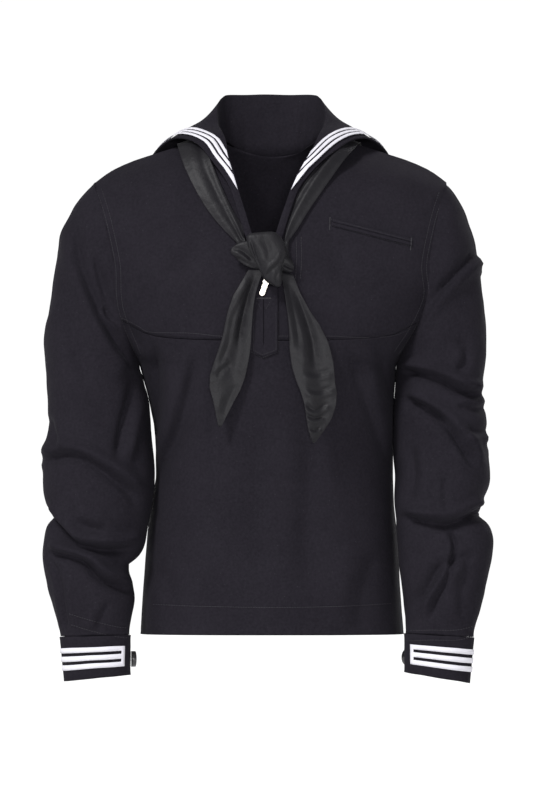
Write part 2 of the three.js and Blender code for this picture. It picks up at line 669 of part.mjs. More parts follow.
/** A place on the collar's shown face: along from the V's bottom round the neck, across from seam to edge. */
function collarPoint(along, across, lift = 0) {
  const section = (u) => {
    const [seam, roll, fall, between, edge] = collarLines.map((line) => line.getPoint(clamp(u, 0, 1)));
    const width = Math.min(roll.distanceTo(seam), roll.distanceTo(fall));
    const turn = Math.min(ROLL_TURN, width * 0.3);
    const rise = roll.clone().sub(seam).normalize();
    const down = fall.clone().sub(roll).normalize();
    const before = roll.clone().sub(rise.clone().multiplyScalar(turn));
    const after = roll.clone().add(down.clone().multiplyScalar(turn));
    return new THREE.CatmullRomCurve3([seam, before, roll, after, fall, between, edge], false, "centripetal");
  };
  const here = section(along).getPoint(across);
  if (lift === 0) return here;
  const step = 0.004;
  const du = section(along + step).getPoint(across).sub(section(along - step).getPoint(across));
  const high = Math.min(across + step, 1);
  const low = Math.max(high - 2 * step, 0);
  const dv = section(along).getPoint(high).sub(section(along).getPoint(low));
  return here.add(du.cross(dv).normalize().multiplyScalar(lift));
}

// Places of the collar's sections: one at each row above, and more between where the edge turns
// over the shoulder
const SECTION_APART = { flap: 32, shoulder: 13, front: 26 };
const COLLAR_ALONG = collarLines[4].points.flatMap((point, i, all) => {
  if (i === all.length - 1) return [1];
  const next = all[i + 1];
  const turning = Math.max(point.z, next.z) > -20;
  const limit = turning ? SECTION_APART.shoulder : SECTION_APART[point.y > 0 ? "flap" : "front"];
  const count = Math.ceil(point.distanceTo(next) / limit);
  return steps(i, i + 1, count).slice(0, -1).map((k) => k / (all.length - 1));
});
const COLLAR_ACROSS = [0, 1, 2, 3, 3.5, 4, 5, 6].map((part) => part / 6);

/** The collar in one piece: stand, roll, the narrow fronts and the square back flap. */
function collar() {
  return clothWall({
    us: COLLAR_ALONG,
    vs: COLLAR_ACROSS,
    place: (along, across) => collarPoint(along, across),
    wall: COLLAR_CLOTH,
  });
}
piece("collar", collar(), WOOL_CLOTH);

// Neckerchief stretches from the knot over the shoulder and under the collar to the middle of the back.
// Each row: face of the body, outer edge and inner edge across and up, and the lift of the shown face.
const NECKERCHIEF = {
  right: [
    { face: -1, outer: [43, -117], inner: [31, -111], lift: 11.85 },
    { face: -1, outer: [43, -107], inner: [33, -100], lift: 3.4 },
    { face: -1, outer: [54, -96], inner: [34, -88], lift: 3 },
    { face: -1, outer: [76, -71], inner: [43, -74], lift: 3 },
    { face: -1, outer: [95, -40], inner: [53, -55], lift: 3 },
    { face: -1, outer: [109, -10], inner: [66, -26], lift: 3.6 },
    { face: -1, outer: [114, 6], inner: [78, 2], lift: 4.4 },
    { face: -1, outer: [116, 15], inner: [84, 24], lift: 5 },
    { face: 1, outer: [114, 6], inner: [84, 16], lift: 5.5 },
    { face: 1, outer: [108, -14], inner: [78, 2], lift: 4.5 },
    { face: 1, outer: [80, -44], inner: [54, -10], lift: 4 },
    { face: 1, outer: [40, -55], inner: [26, -18], lift: 4 },
    { face: 1, outer: [0.3, -58], inner: [0.3, -20], lift: 4 },
  ],
  left: [
    { face: -1, outer: [23, -129], inner: [14, -122], lift: 8.65 },
    { face: -1, outer: [22, -106], inner: [18, -98], lift: 4.5 },
    { face: -1, outer: [31, -93], inner: [20, -84], lift: 2.8 },
    { face: -1, outer: [45, -70], inner: [26, -67], lift: 3 },
    { face: -1, outer: [62, -45], inner: [34, -44], lift: 3 },
    { face: -1, outer: [92, -3], inner: [57, -12], lift: 3.6 },
    { face: -1, outer: [104, 10], inner: [78, 4], lift: 4.4 },
    { face: -1, outer: [110, 16.5], inner: [84, 24], lift: 5 },
    { face: 1, outer: [112, 6], inner: [84, 16], lift: 5.5 },
    { face: 1, outer: [108, -14], inner: [78, 2], lift: 4.5 },
    { face: 1, outer: [80, -44], inner: [54, -10], lift: 4 },
    { face: 1, outer: [40, -55], inner: [26, -18], lift: 4 },
    { face: 1, outer: [0.3, -58], inner: [0.3, -20], lift: 4 },
  ],
};
const SILK_FOLD = 1.6;

/** One stretch of the neckerchief, with a soft fold along its inner side. */
function neckerchief(name) {
  const side = SIDES[name];
  const rows = NECKERCHIEF[name];
  const lines = steps(0, 1, 4).map((across) => new THREE.CatmullRomCurve3(rows.map((row) => {
    const x = mix(row.inner[0], row.outer[0], across);
    const z = mix(row.inner[1], row.outer[1], across);
    const fold = row.face < 0 ? SILK_FOLD * Math.sin(Math.PI * across) : 0;
    return onTorso(row.face, side * x, z, row.lift + fold);
  }), false, "centripetal"));
  return clothWall({
    us: steps(0, 1, 22),
    vs: [0, 1, 2, 3, 4],
    place: (along, k) => lines[k].getPoint(along),
    wall: SILK,
    out: -side,
  });
}
piece("neckerchief_right", neckerchief("right"), SILK_CLOTH);
piece("neckerchief_left", neckerchief("left"), SILK_CLOTH);

/** A rounded bundle of folded silk: an outline seen from the front, flat behind, domed in front. */
function bundle({ outline, back, front }) {
  const loop = new THREE.CatmullRomCurve3(outline.map(([x, z]) => vec(x, 0, z)), true, "centripetal");
  const around = loop.getPoints(18).slice(0, -1);
  const middle = around.reduce((sum, p) => sum.add(p), vec(0, 0, 0)).divideScalar(around.length);
  const rings = [[0.9, 0], [1, 0.3], [0.97, 0.6], [0.82, 0.88], [0.45, 1]];
  const points = [middle.x, back, middle.z];
  for (const [size, deep] of rings) {
    for (const p of around) {
      const at = middle.clone().lerp(p, size);
      points.push(at.x, mix(back, front, deep), at.z);
    }
  }
  points.push(middle.x, front - 0.6, middle.z);
  const n = around.length;
  const top = points.length / 3 - 1;
  const faces = [];
  for (let i = 0; i < n; i++) {
    const next = (i + 1) % n;
    faces.push(0, 1 + next, 1 + i);
    for (let r = 0; r < rings.length - 1; r++) {
      const a = 1 + r * n;
      faces.push(a + i, a + next, a + n + next, a + i, a + n + next, a + n + i);
    }
    const last = 1 + (rings.length - 1) * n;
    faces.push(last + i, last + next, top);
  }
  return solidOf(points, faces);
}

// The knot: a wrap in front of the loops that pass behind it
const KNOT_BACK_Y = -117;
const KNOT_MIDDLE_Y = -125.5;
const KNOT_FRONT_Y = -141;
piece("knot_wrap", bundle({
  outline: [
    [-34, -97], [-12, -93], [8, -93], [21, -118], [14, -134], [13, -163], [0, -159], [-10, -151], [-13, -142],
  ],
  back: KNOT_MIDDLE_Y - 2 * REST,
  front: KNOT_FRONT_Y,
}), SILK_CLOTH);
piece("knot_loops", bundle({
  outline: [
    [-52, -115], [-33, -103], [-8, -108], [14, -118], [29, -131], [27, -145], [8, -140], [-26, -139], [-46, -124],
  ],
  back: KNOT_BACK_Y,
  front: KNOT_MIDDLE_Y,
}), SILK_CLOTH);

// Tails of the neckerchief: left and right edge across and up, with the depth in front of the
// origin at each edge
const TAILS = {
  right: [
    { left: [-28, -139.9], right: [-9, -140.3], y: [-121.5, -121.5] },
    { left: [-38, -157], right: [-18, -165], y: [-126, -124] },
    { left: [-50, -178], right: [-22.5, -192], y: [-130, -127] },
    { left: [-62, -229], right: [-25, -234], y: [-134, -129] },
    { left: [-71, -255], right: [-29, -260], y: [-134, -129] },
    { left: [-77.5, -280], right: [-35, -283], y: [-133, -128] },
    { left: [-71, -308], right: [-49, -310], y: [-131, -128] },
    { left: [-65.5, -335], right: [-62, -336], y: [-129, -128] },
  ],
  left: [
    { left: [12, -141.9], right: [27.5, -146], y: [-121.5, -121.5] },
    { left: [19, -181], right: [42, -181], y: [-134, -128] },
    { left: [22.5, -214], right: [61, -209], y: [-141, -132] },
    { left: [24, -252], right: [76, -243], y: [-145, -134] },
    { left: [31, -278], right: [80, -280], y: [-146, -135] },
    { left: [40, -301], right: [82.5, -300], y: [-145, -135] },
    { left: [44, -323], right: [76, -325], y: [-144, -135] },
    { left: [47.5, -342], right: [65, -342], y: [-143, -136] },
    { left: [52.5, -355], right: [55, -356], y: [-142, -140] },
  ],
};
const TAIL_WAVE = { right: 3, left: 4 };

/** A tail of the neckerchief that hangs from the knot, waved across as it opens out. */
function tail(name) {
  const rows = TAILS[name];
  const line = (pick) => new THREE.CatmullRomCurve3(rows.map(pick), false, "centripetal");
  const left = line((row) => vec(row.left[0], row.y[0], row.left[1]));
  const right = line((row) => vec(row.right[0], row.y[1], row.right[1]));
  const place = (across, down) => {
    const at = left.getPoint(down).lerp(right.getPoint(down), across);
    const open = Math.sin(Math.PI * clamp(down * 1.1, 0, 1));
    at.y -= TAIL_WAVE[name] * open * Math.sin(2 * Math.PI * across + 0.6) * Math.sin(Math.PI * across);
    return at;
  };
  return clothWall({ us: steps(0, 1, 7), vs: steps(0, 1, 12), place, wall: SILK, out: -1 });
}
piece("tail_right", tail("right"), SILK_CLOTH);
piece("tail_left", tail("left"), SILK_CLOTH);

// The placket that faces the front opening: two leaves joined below the opening, with a pointed end
const PLACKET = {
  half: 17.5, top: -160, openEnd: -234, corner: -242, point: -250, slit: 0.5, lift: 0.6, cloth: 1.1,
};

/** The placket, laid on the front and the yokes. */
function placket() {
  const { half, top, openEnd, corner, point, slit, lift, cloth } = PLACKET;
  const leaf = steps(slit / 2, half, 3);
  const acrosses = [...leaf.map((across) => -across).reverse(), ...leaf];
  const downs = [...steps(top, openEnd, 7), corner];
  const place = (across, z) => {
    const low = z > corner ? z : mix(point, corner, Math.abs(across) / half);
    return onTorso(-1, V_LEAN + across, low, lift + cloth);
  };
  return clothWall({
    us: acrosses,
    vs: downs,
    place,
    wall: cloth,
    out: -1,
    filled: (i, j) => i !== 3 || j >= downs.length - 2,
  });
}
piece("front_placket", placket(), WOOL_CLOTH);

// The welt pocket on the wearer's left breast: two jets along a slanted slit
const POCKET = { x: 76, z: -80.5, x2: 175, z2: -105.5, jet: 4, slit: 0.5, lift: 0.6, cloth: 1.2 };

/** One jet of the pocket. side is 1 above the slit and -1 below it. */
function pocketJet(side) {
  const { x, z, x2, z2, jet, slit, lift, cloth } = POCKET;
  const length = Math.hypot(x2 - x, z2 - z);
  const up = { x: -(z2 - z) / length, z: (x2 - x) / length };
  const place = (along, away) => {
    const from = side * away;
    return onTorso(-1, mix(x, x2, along) + from * up.x, mix(z, z2, along) + from * up.z, lift + cloth);
  };
  return clothWall({
    us: steps(0, 1, 9),
    vs: [slit / 2, slit / 2 + jet],
    place,
    wall: cloth,
    out: side,
  });
}
piece("pocket_jet_upper", pocketJet(1), WOOL_CLOTH);
piece("pocket_jet_lower", pocketJet(-1), WOOL_CLOTH);

// Stripes sewn round the collar flap and fronts: how far in from the outer edge the first lies,
// their width and gap
const STRIPE_LIFT = 1.8;
const COLLAR_STRIPES = { outer: 8, width: 4.8, gap: 2.6, beforeRoll: 1.5, stationApart: 0.006 };
const ROLL_ACROSS = COLLAR_ACROSS[2];
const HALVINGS = 20;

/** A place a distance in from the collar's outer edge, on the flat faces between its sections, moved out. */
function onCollar(along, away, lift) {
  const inward = [...COLLAR_ACROSS].reverse();
  const line = inward.map((across) => collarPoint(along, across));
  let left = away;
  let i = 0;
  while (i < line.length - 2 && left > line[i].distanceTo(line[i + 1])) {
    left -= line[i].distanceTo(line[i + 1]);
    i++;
  }
  const share = left / line[i].distanceTo(line[i + 1]);
  const across = mix(inward[i], inward[i + 1], share);
  const off = collarPoint(along, across, 1).sub(collarPoint(along, across));
  return line[i].clone().lerp(line[i + 1], share).add(off.multiplyScalar(lift));
}

/** How far along the right front the collar's width from roll to edge has grown to a length. */
function grownTo(width) {
  const shown = COLLAR_ACROSS.filter((across) => across >= ROLL_ACROSS);
  const widthAt = (along) => {
    const line = shown.map((across) => collarPoint(along, across));
    return line.slice(1).reduce((sum, point, i) => sum + point.distanceTo(line[i]), 0);
  };
  let [narrow, broad] = [0, 0.25];
  for (let i = 0; i < HALVINGS; i++) {
    const middle = (narrow + broad) / 2;
    if (widthAt(middle) < width) narrow = middle;
    else broad = middle;
  }
  return broad;
}

/** One stripe along the flap and down the fronts, slanted off where it meets the roll. */
function collarStripe(order) {
  const { outer, width, gap, beforeRoll, stationApart } = COLLAR_STRIPES;
  const inset = outer + order * (width + gap);
  const tip = (away) => grownTo(away + beforeRoll);
  const first = tip(inset + width) + stationApart;
  return clothWall({
    us: [0, ...COLLAR_ALONG.filter((along) => along > first && along < 1 - first), 1],
    vs: [inset + width, inset],
    place: (along, away) => {
      const end = along === 0 ? tip(away) : 1 - tip(away);
      return onCollar(along > 0 && along < 1 ? along : end, away, STRIPE_LIFT + TAPE);
    },
    wall: TAPE,
    out: 1,
  });
}
["outer", "middle", "inner"].forEach((name, order) => {
  piece(`collar_stripe_${name}`, collarStripe(order), WHITE_TAPE);
});

// The zip's slider on the placket's opening, under the knot, and its pull tab. The tab's top bar turns under
// the slider's bridge. In both, x is across, y is up along the zip and z is out from the chest.
const ZIP = { x: -5.2, z: -153, lift: 2.3, slant: 19 };
const SLIDER = { wide: 8, long: 9.5, thick: 2.2, bridgeWide: 2, bridgeLong: 7.4, bridgeHigh: 3.2, bar: 1 };
const PULL = { reach: 21, wide: 6.4, thick: 1.4, bar: 0.7, holeWide: 3.4, holeLong: 4.6, axis: 1.6 };

/** The slider's body with its bridge, cut from one outline seen from the side and one seen from the front. */
function sliderGeometry() {
  const { wide, long, thick, bridgeWide, bridgeLong, bridgeHigh, bar } = SLIDER;
  const boxes = [
    [wide, long, thick, 0, thick / 2],
    [bridgeWide, bar, bridgeHigh, bridgeLong / 2 - bar / 2, thick + bridgeHigh / 2],
    [bridgeWide, bar, bridgeHigh, bar / 2 - bridgeLong / 2, thick + bridgeHigh / 2],
    [bridgeWide, bridgeLong, bar, 0, thick + bridgeHigh + bar / 2],
  ].map(([x, y, z, atY, atZ]) => toSolid(new THREE.BoxGeometry(x, y, z).translate(0, atY, atZ)));
  return fromSolid(wasm.Manifold.union(boxes));
}

/** A mesh geometry as a solid for joining. */
function toSolid(geometry) {
  const bare = geometry.clone();
  bare.deleteAttribute("normal");
  bare.deleteAttribute("uv");
  const merged = mergeVertices(bare, 1e-4);
  const vertProperties = Float32Array.from(merged.attributes.position.array);
  const triVerts = Uint32Array.from(merged.index.array);
  return new wasm.Manifold(new wasm.Mesh({ numProp: 3, vertProperties, triVerts }));
}

/** A joined solid as a mesh geometry. */
function fromSolid(solid) {
  const mesh = solid.getMesh();
  return solidOf(Array.from(mesh.vertProperties), Array.from(mesh.triVerts));
}

/** The pull tab, round at its free end, with the hole that the bridge's lower leg stands in. */
function pullGeometry() {
  const { reach, wide, thick, bar, holeWide, holeLong } = PULL;
  const half = wide / 2;
  const shape = new THREE.Shape();
  shape.moveTo(-half, bar);
  shape.lineTo(-half, half - reach);
  shape.absarc(0, half - reach, half, Math.PI, 2 * Math.PI, false);
  shape.lineTo(half, bar);
  shape.closePath();
  const hole = new THREE.Path();
  hole.moveTo(-holeWide / 2, -bar);
  hole.lineTo(holeWide / 2, -bar);
  hole.lineTo(holeWide / 2, -holeLong);
  hole.lineTo(-holeWide / 2, -holeLong);
  hole.closePath();
  shape.holes.push(hole);
  const plate = new THREE.ExtrudeGeometry(shape, { depth: thick, bevelEnabled: false, curveSegments: 8 });
  return plate.translate(0, 0, -thick / 2);
}

const zip = new THREE.Group();
zip.position.copy(onTorso(-1, ZIP.x, ZIP.z, ZIP.lift));
zip.rotation.set(Math.PI / 2, degToRad(ZIP.slant), 0, "YXZ");
jumper.add(zip);
const slider = piece("zip_slider", sliderGeometry(), ZIP_METAL);
const pull = piece("zip_pull", pullGeometry(), ZIP_METAL);
pull.position.z = SLIDER.thick + PULL.axis;
zip.add(slider, pull);

export default jumper;
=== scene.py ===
import math

import bpy
import numpy as np
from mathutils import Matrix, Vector, noise
from mathutils.bvhtree import BVHTree


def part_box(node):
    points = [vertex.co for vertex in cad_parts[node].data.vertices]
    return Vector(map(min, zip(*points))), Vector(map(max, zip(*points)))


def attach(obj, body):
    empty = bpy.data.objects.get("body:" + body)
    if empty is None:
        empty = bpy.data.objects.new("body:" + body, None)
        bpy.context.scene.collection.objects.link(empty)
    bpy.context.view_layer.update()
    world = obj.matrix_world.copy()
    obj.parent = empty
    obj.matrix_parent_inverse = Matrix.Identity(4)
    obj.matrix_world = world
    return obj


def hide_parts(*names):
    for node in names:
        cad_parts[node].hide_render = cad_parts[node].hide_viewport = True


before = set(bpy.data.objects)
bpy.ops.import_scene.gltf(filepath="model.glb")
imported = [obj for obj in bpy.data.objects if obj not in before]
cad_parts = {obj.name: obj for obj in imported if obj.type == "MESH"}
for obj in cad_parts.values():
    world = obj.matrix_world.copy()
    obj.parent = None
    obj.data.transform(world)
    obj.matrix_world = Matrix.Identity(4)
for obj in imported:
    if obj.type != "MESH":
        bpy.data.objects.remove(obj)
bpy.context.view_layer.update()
MM = 0.001

# The photograph: its size in pixels, a pixel's width on the garment, and the pixel of the origin
IMAGE_WIDTH = 533
IMAGE_HEIGHT = 799
PIXEL = 1.25 * MM
ORIGIN_COLUMN = 271
ORIGIN_ROW = 158

CAMERA_DISTANCE = 20.0
SENSOR = 36.0
FACE_PLANE_Y = -0.07


def spot(column, row):
    """Across and up, in metres, of a pixel on the garment's face."""
    return (column - ORIGIN_COLUMN) * PIXEL, (ORIGIN_ROW - row) * PIXEL


# Camera
def make_camera():
    bpy.ops.object.camera_add()
    camera = bpy.context.object
    camera.name = "camera"
    across, up = spot(IMAGE_WIDTH / 2, IMAGE_HEIGHT / 2)
    camera.location = (across, FACE_PLANE_Y - CAMERA_DISTANCE, up)
    camera.rotation_euler = (math.pi / 2, 0, 0)
    camera.data.sensor_width = SENSOR
    camera.data.lens = SENSOR * CAMERA_DISTANCE / (IMAGE_HEIGHT * PIXEL)
    bpy.context.scene.camera = camera


make_camera()


# Meshes
def deselect():
    bpy.ops.object.select_all(action="DESELECT")


def select(piece):
    deselect()
    piece.select_set(True)
    bpy.context.view_layer.objects.active = piece


def points_of(piece):
    places = np.zeros(len(piece.data.vertices) * 3, np.float32)
    piece.data.vertices.foreach_get("co", places)
    return places.reshape(-1, 3).astype(float)


def set_points(piece, places):
    piece.data.vertices.foreach_set("co", places.astype(np.float32).ravel())
    piece.data.update()


def apply_modifiers(piece):
    select(piece)
    for modifier in list(piece.modifiers):
        bpy.ops.object.modifier_apply(modifier=modifier.name)


MERGE = 0.02 * MM
RIM_ANGLE = math.radians(50)
QUAD_ANGLE = math.radians(70)
SMOOTH_ANGLE = math.radians(55)


def cloth_from(node, name, levels, rim_angle=RIM_ANGLE):
    """A finely divided copy of a node's wall, with its rims kept sharp."""
    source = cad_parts[node]
    cloth = source.copy()
    cloth.data = source.data.copy()
    cloth.parent = None
    cloth.name = name
    bpy.context.collection.objects.link(cloth)
    select(cloth)
    cloth.data.materials.clear()
    bpy.ops.object.mode_set(mode="EDIT")
    bpy.ops.mesh.select_all(action="SELECT")
    bpy.ops.mesh.remove_doubles(threshold=MERGE)
    bpy.ops.mesh.tris_convert_to_quads(face_threshold=QUAD_ANGLE, shape_threshold=QUAD_ANGLE)
    bpy.ops.mesh.select_all(action="DESELECT")
    bpy.ops.mesh.edges_select_sharp(sharpness=rim_angle)
    bpy.ops.transform.edge_crease(value=1)
    bpy.ops.object.mode_set(mode="OBJECT")
    smooth = cloth.modifiers.new("smooth", "SUBSURF")
    smooth.levels = levels
    smooth.render_levels = levels
    apply_modifiers(cloth)
    bpy.ops.object.shade_smooth_by_angle(angle=SMOOTH_ANGLE)
    return cloth


def smooth_step(low, high, value):
    share = np.clip((value - low) / (high - low), 0, 1)
    return share * share * (3 - 2 * share)


def curve_through(stops, count):
    """Points evenly along a smooth line through a few pixels of the photograph, in metres."""
    places = np.array([spot(*stop) for stop in stops])
    padded = np.vstack([2 * places[0] - places[1], places, 2 * places[-1] - places[-2]])
    line = []
    for i in range(1, len(padded) - 2):
        a, b, c, d = padded[i - 1:i + 3]
        for t in np.linspace(0, 1, 9)[:-1]:
            line.append(0.5 * (2 * b + (c - a) * t + (2 * a - 5 * b + 4 * c - d) * t ** 2
                               + (3 * b - a - 3 * c + d) * t ** 3))
    line.append(places[-1])
    line = np.array(line)
    along = np.concatenate([[0], np.cumsum(np.linalg.norm(np.diff(line, axis=0), axis=1))])
    even = np.linspace(0, along[-1], count)
    return np.stack([np.interp(even, along, line[:, k]) for k in range(2)], axis=1)


def from_line(places, line):
    """For each place: the signed distance to a line (positive to its right) and the share along it."""
    best = np.full(len(places), np.inf)
    signed = np.zeros(len(places))
    share = np.zeros(len(places))
    for i in range(len(line) - 1):
        a, b = line[i], line[i + 1]
        run = b - a
        t = np.clip(((places - a) @ run) / (run @ run), 0, 1)
        away = places - a - t[:, None] * run
        distance = np.linalg.norm(away, axis=1)
        side = np.sign(run[1] * away[:, 0] - run[0] * away[:, 1])
        nearer = distance < best
        best = np.where(nearer, distance, best)
        signed = np.where(nearer, distance * side, signed)
        share = np.where(nearer, (i + t) / (len(line) - 1), share)
    return signed, share


FOLD_STEPS = 26
FADE = 0.25
TROUGH_POWER = 1.6
RIDGE_AWAY = 1.8
RIDGE_WIDE = 1.35


def fold_height(places, folds):
    """How far folds push the cloth out at each place on the face. A fold is a soft trough with a ridge beside it."""
    height = np.zeros(len(places))
    for fold in folds:
        width = fold["width"] * MM
        line = curve_through(fold["line"], FOLD_STEPS)
        signed, share = from_line(places, line)
        taper = smooth_step(0, fold.get("fade_in", FADE), share)
        taper = taper * smooth_step(0, fold.get("fade_out", FADE), 1 - share)
        trough = np.exp(-np.abs(signed / width) ** TROUGH_POWER)
        ridge_at = fold.get("side", 1) * RIDGE_AWAY * width
        ridge = np.exp(-((signed - ridge_at) / (RIDGE_WIDE * width)) ** 2)
        height += taper * MM * (fold["ridge"] * ridge - fold["depth"] * trough)
    return height


def rumple(places, size, amount, seed):
    """Soft unevenness of hanging cloth: low bumps of one size in millimetres."""
    scale = 1 / (size * MM)
    shift = Vector((seed * 3.1, seed * 1.7, seed * 2.3))
    return amount * MM * np.array([noise.noise(Vector(p) * scale + shift) for p in places])


# Folds that the photograph shows, as pixels along each, with sizes in millimetres
FRONT_FOLDS = [
    {"line": [(152, 338), (157, 370), (156, 420), (149, 470)], "width": 7, "depth": 12.2, "ridge": 6.6, "side": -1},
    {"line": [(196, 343), (192, 380), (180, 425), (160, 470), (150, 500)], "width": 9, "depth": 9.4, "ridge": 7.9},
    {"line": [(347, 344), (360, 385), (376, 430), (392, 478)], "width": 8, "depth": 5.5, "ridge": 4.2, "side": -1},
    {"line": [(378, 343), (384, 372), (392, 405)], "width": 6, "depth": 4.4, "ridge": 3.2},
    {"line": [(231, 345), (216, 400), (212, 470), (216, 540)], "width": 15, "depth": 4.4, "ridge": 2.6},
    {"line": [(300, 400), (309, 460), (306, 540), (312, 600)], "width": 16, "depth": 4.4, "ridge": 3.2},
    {"line": [(262, 420), (256, 500), (262, 590)], "width": 18, "depth": 3.3, "ridge": 3.2, "side": -1},
    {"line": [(150, 560), (170, 590), (176, 632)], "width": 13, "depth": 4.4, "ridge": 2.6, "fade_out": 0.1},
    {"line": [(376, 548), (362, 592), (360, 632)], "width": 13, "depth": 3.9, "ridge": 2.6, "fade_out": 0.1},
    {"line": [(119, 318), (131, 333), (143, 352)], "width": 5, "depth": 5.5, "ridge": 4},
    {"line": [(160, 158), (142, 172), (132, 186)], "width": 8, "depth": 3.3, "ridge": 2.6},
    {"line": [(208, 236), (186, 262), (160, 280)], "width": 12, "depth": 3.3, "ridge": 2.6},
    {"line": [(330, 262), (352, 286), (380, 300)], "width": 12, "depth": 3, "ridge": 2.4, "side": -1},
]
BACK_FOLDS = [
    {"line": [(385, 300), (380, 350), (384, 410), (392, 470)], "width": 9, "depth": 6.8, "ridge": 5.4},
    {"line": [(155, 310), (163, 360), (160, 420), (152, 475)], "width": 9, "depth": 6.8, "ridge": 5.4, "side": -1},
    {"line": [(340, 330), (332, 400), (344, 480), (352, 560)], "width": 14, "depth": 5.1, "ridge": 4},
    {"line": [(204, 335), (212, 410), (202, 490), (190, 570)], "width": 14, "depth": 4.8, "ridge": 3.6, "side": -1},
    {"line": [(276, 300), (270, 380), (277, 470), (272, 580)], "width": 20, "depth": 4.1, "ridge": 3.6},
    {"line": [(300, 520), (312, 575), (308, 632)], "width": 14, "depth": 3.4, "ridge": 2.5, "fade_out": 0.1},
    {"line": [(236, 530), (228, 580), (233, 632)], "width": 14, "depth": 3.1, "ridge": 2.5, "fade_out": 0.1},
    {"line": [(140, 200), (180, 235), (230, 250)], "width": 13, "depth": 2.4, "ridge": 1.8},
    {"line": [(402, 204), (362, 238), (312, 252)], "width": 13, "depth": 2.4, "ridge": 1.8, "side": -1},
    {"line": [(128, 330), (170, 352), (214, 352)], "width": 12, "depth": 3.1, "ridge": 2.5},
    {"line": [(414, 330), (372, 354), (326, 356)], "width": 12, "depth": 3.1, "ridge": 2.5, "side": -1},
]
SLEEVE_RIGHT_FOLDS = [
    {"line": [(74, 205), (79, 255), (95, 300), (116, 340), (139, 366)], "width": 7, "depth": 7, "ridge": 6.5,
     "fade_out": 0.08},
    {"line": [(95, 250), (104, 285), (121, 322)], "width": 6, "depth": 7, "ridge": 4.3, "side": -1},
    {"line": [(104, 306), (112, 318), (124, 326)], "width": 3.5, "depth": 7, "ridge": 4.3},
    {"line": [(139, 370), (133, 396), (125, 425), (116, 466)], "width": 6, "depth": 10.6, "ridge": 7.6, "side": -1,
     "fade_in": 0.1},
    {"line": [(42, 466), (56, 457), (78, 457), (102, 470), (126, 488), (143, 508)], "width": 6.5, "depth": 9.3,
     "ridge": 8.6, "side": -1, "fade_in": 0.12},
    {"line": [(41, 505), (58, 528), (74, 544), (98, 549), (124, 550), (146, 547)], "width": 6, "depth": 14,
     "ridge": 8.6, "side": -1, "fade_in": 0.1, "fade_out": 0.1},
    {"line": [(45, 553), (64, 556), (84, 563), (102, 579), (124, 589), (137, 599)], "width": 5.5, "depth": 11.6,
     "ridge": 8.6, "side": -1, "fade_in": 0.1},
    {"line": [(72, 520), (90, 528), (108, 530)], "width": 7, "depth": 4.7, "ridge": 3.2, "side": -1},
    {"line": [(46, 552), (59, 580), (66, 630)], "width": 3, "depth": 4.7, "ridge": 2.5, "fade_out": 0.1},
    {"line": [(47, 414), (52, 432), (60, 452)], "width": 6, "depth": 5.6, "ridge": 4.3, "side": -1},
    {"line": [(60, 300), (72, 345), (92, 392)], "width": 12, "depth": 3.7, "ridge": 3.1},
    {"line": [(110, 600), (101, 618), (98, 634)], "width": 5, "depth": 3.2, "ridge": 2.2},
]
SLEEVE_LEFT_FOLDS = [
    {"line": [(482, 246), (457, 272), (432, 298), (412, 324), (398, 350), (394, 366)], "width": 5.5, "depth": 9.3,
     "ridge": 7.6, "side": -1, "fade_in": 0.1, "fade_out": 0.1},
    {"line": [(394, 371), (418, 374), (440, 380), (462, 391), (484, 396)], "width": 5.5, "depth": 14, "ridge": 9.6,
     "side": -1, "fade_in": 0.1, "fade_out": 0.12},
    {"line": [(402, 399), (424, 408), (446, 424), (463, 445), (478, 470)], "width": 5.5, "depth": 12.8, "ridge": 8.6,
     "side": -1, "fade_in": 0.1, "fade_out": 0.15},
    {"line": [(455, 405), (472, 409), (490, 408)], "width": 5, "depth": 5.6, "ridge": 4.3, "side": -1},
    {"line": [(466, 428), (478, 431), (491, 430)], "width": 5, "depth": 5.2, "ridge": 4},
    {"line": [(453, 338), (466, 348), (466, 362), (454, 373)], "width": 6, "depth": 5.6, "ridge": 4.3},
    {"line": [(398, 518), (424, 522), (448, 524), (466, 518), (490, 508)], "width": 6, "depth": 11.6, "ridge": 8.6,
     "side": -1, "fade_in": 0.15, "fade_out": 0.1},
    {"line": [(447, 528), (454, 542), (452, 562), (444, 584), (434, 603), (428, 624)], "width": 3.5, "depth": 8,
     "ridge": 5.3, "fade_in": 0.1},
    {"line": [(408, 616), (424, 590), (442, 566), (478, 552)], "width": 7, "depth": 7, "ridge": 5.2},
    {"line": [(478, 545), (466, 570), (462, 600), (466, 628)], "width": 8, "depth": 4.1, "ridge": 3.1},
    {"line": [(408, 440), (412, 470), (409, 505)], "width": 8, "depth": 4.7, "ridge": 3.4, "side": -1},
    {"line": [(447, 470), (444, 492), (447, 512)], "width": 4, "depth": 3.2, "ridge": 2.2},
]
# Folds on the far side of a sleeve are like those in front, a little lower and shallower
FAR_DROP = 14
FAR_SHARE = 0.75


def far_side(folds):
    """Folds for the side that isn't seen, made from those that are."""
    hidden = []
    for k, fold in enumerate(folds):
        drop = FAR_DROP * (0.6 + 0.4 * math.sin(2.1 * k))
        share = FAR_SHARE * (0.85 + 0.2 * math.cos(1.7 * k))
        hidden.append({**fold,
                       "line": [(column, row + drop) for column, row in fold["line"]],
                       "depth": fold["depth"] * share,
                       "ridge": fold["ridge"] * share})
    return hidden


# Armhole seams, down from the shoulder, as pixels
ARMHOLES = {
    "right": [(93, 185), (101, 208), (107, 231), (114, 266), (115, 296), (120, 320), (138, 364)],
    "left": [(447, 189), (440, 210), (434, 233), (428, 266), (430, 297), (416, 330), (395, 362)],
}
CALM_WIDTH = 16 * MM
# The body's cross-section is this wide and deep, for the way that its cloth is pushed
BODY_WIDE = 0.2
BODY_DEEP = 0.11
SIDE_SEAM_Y = 2 * MM
SIDE_CALM = 55 * MM
SIDE_CALMED = 0.85
SIDEWAYS_SHARE = 0.3


FRONT_BLEND = 30 * MM
SEAM_STEPS = 20
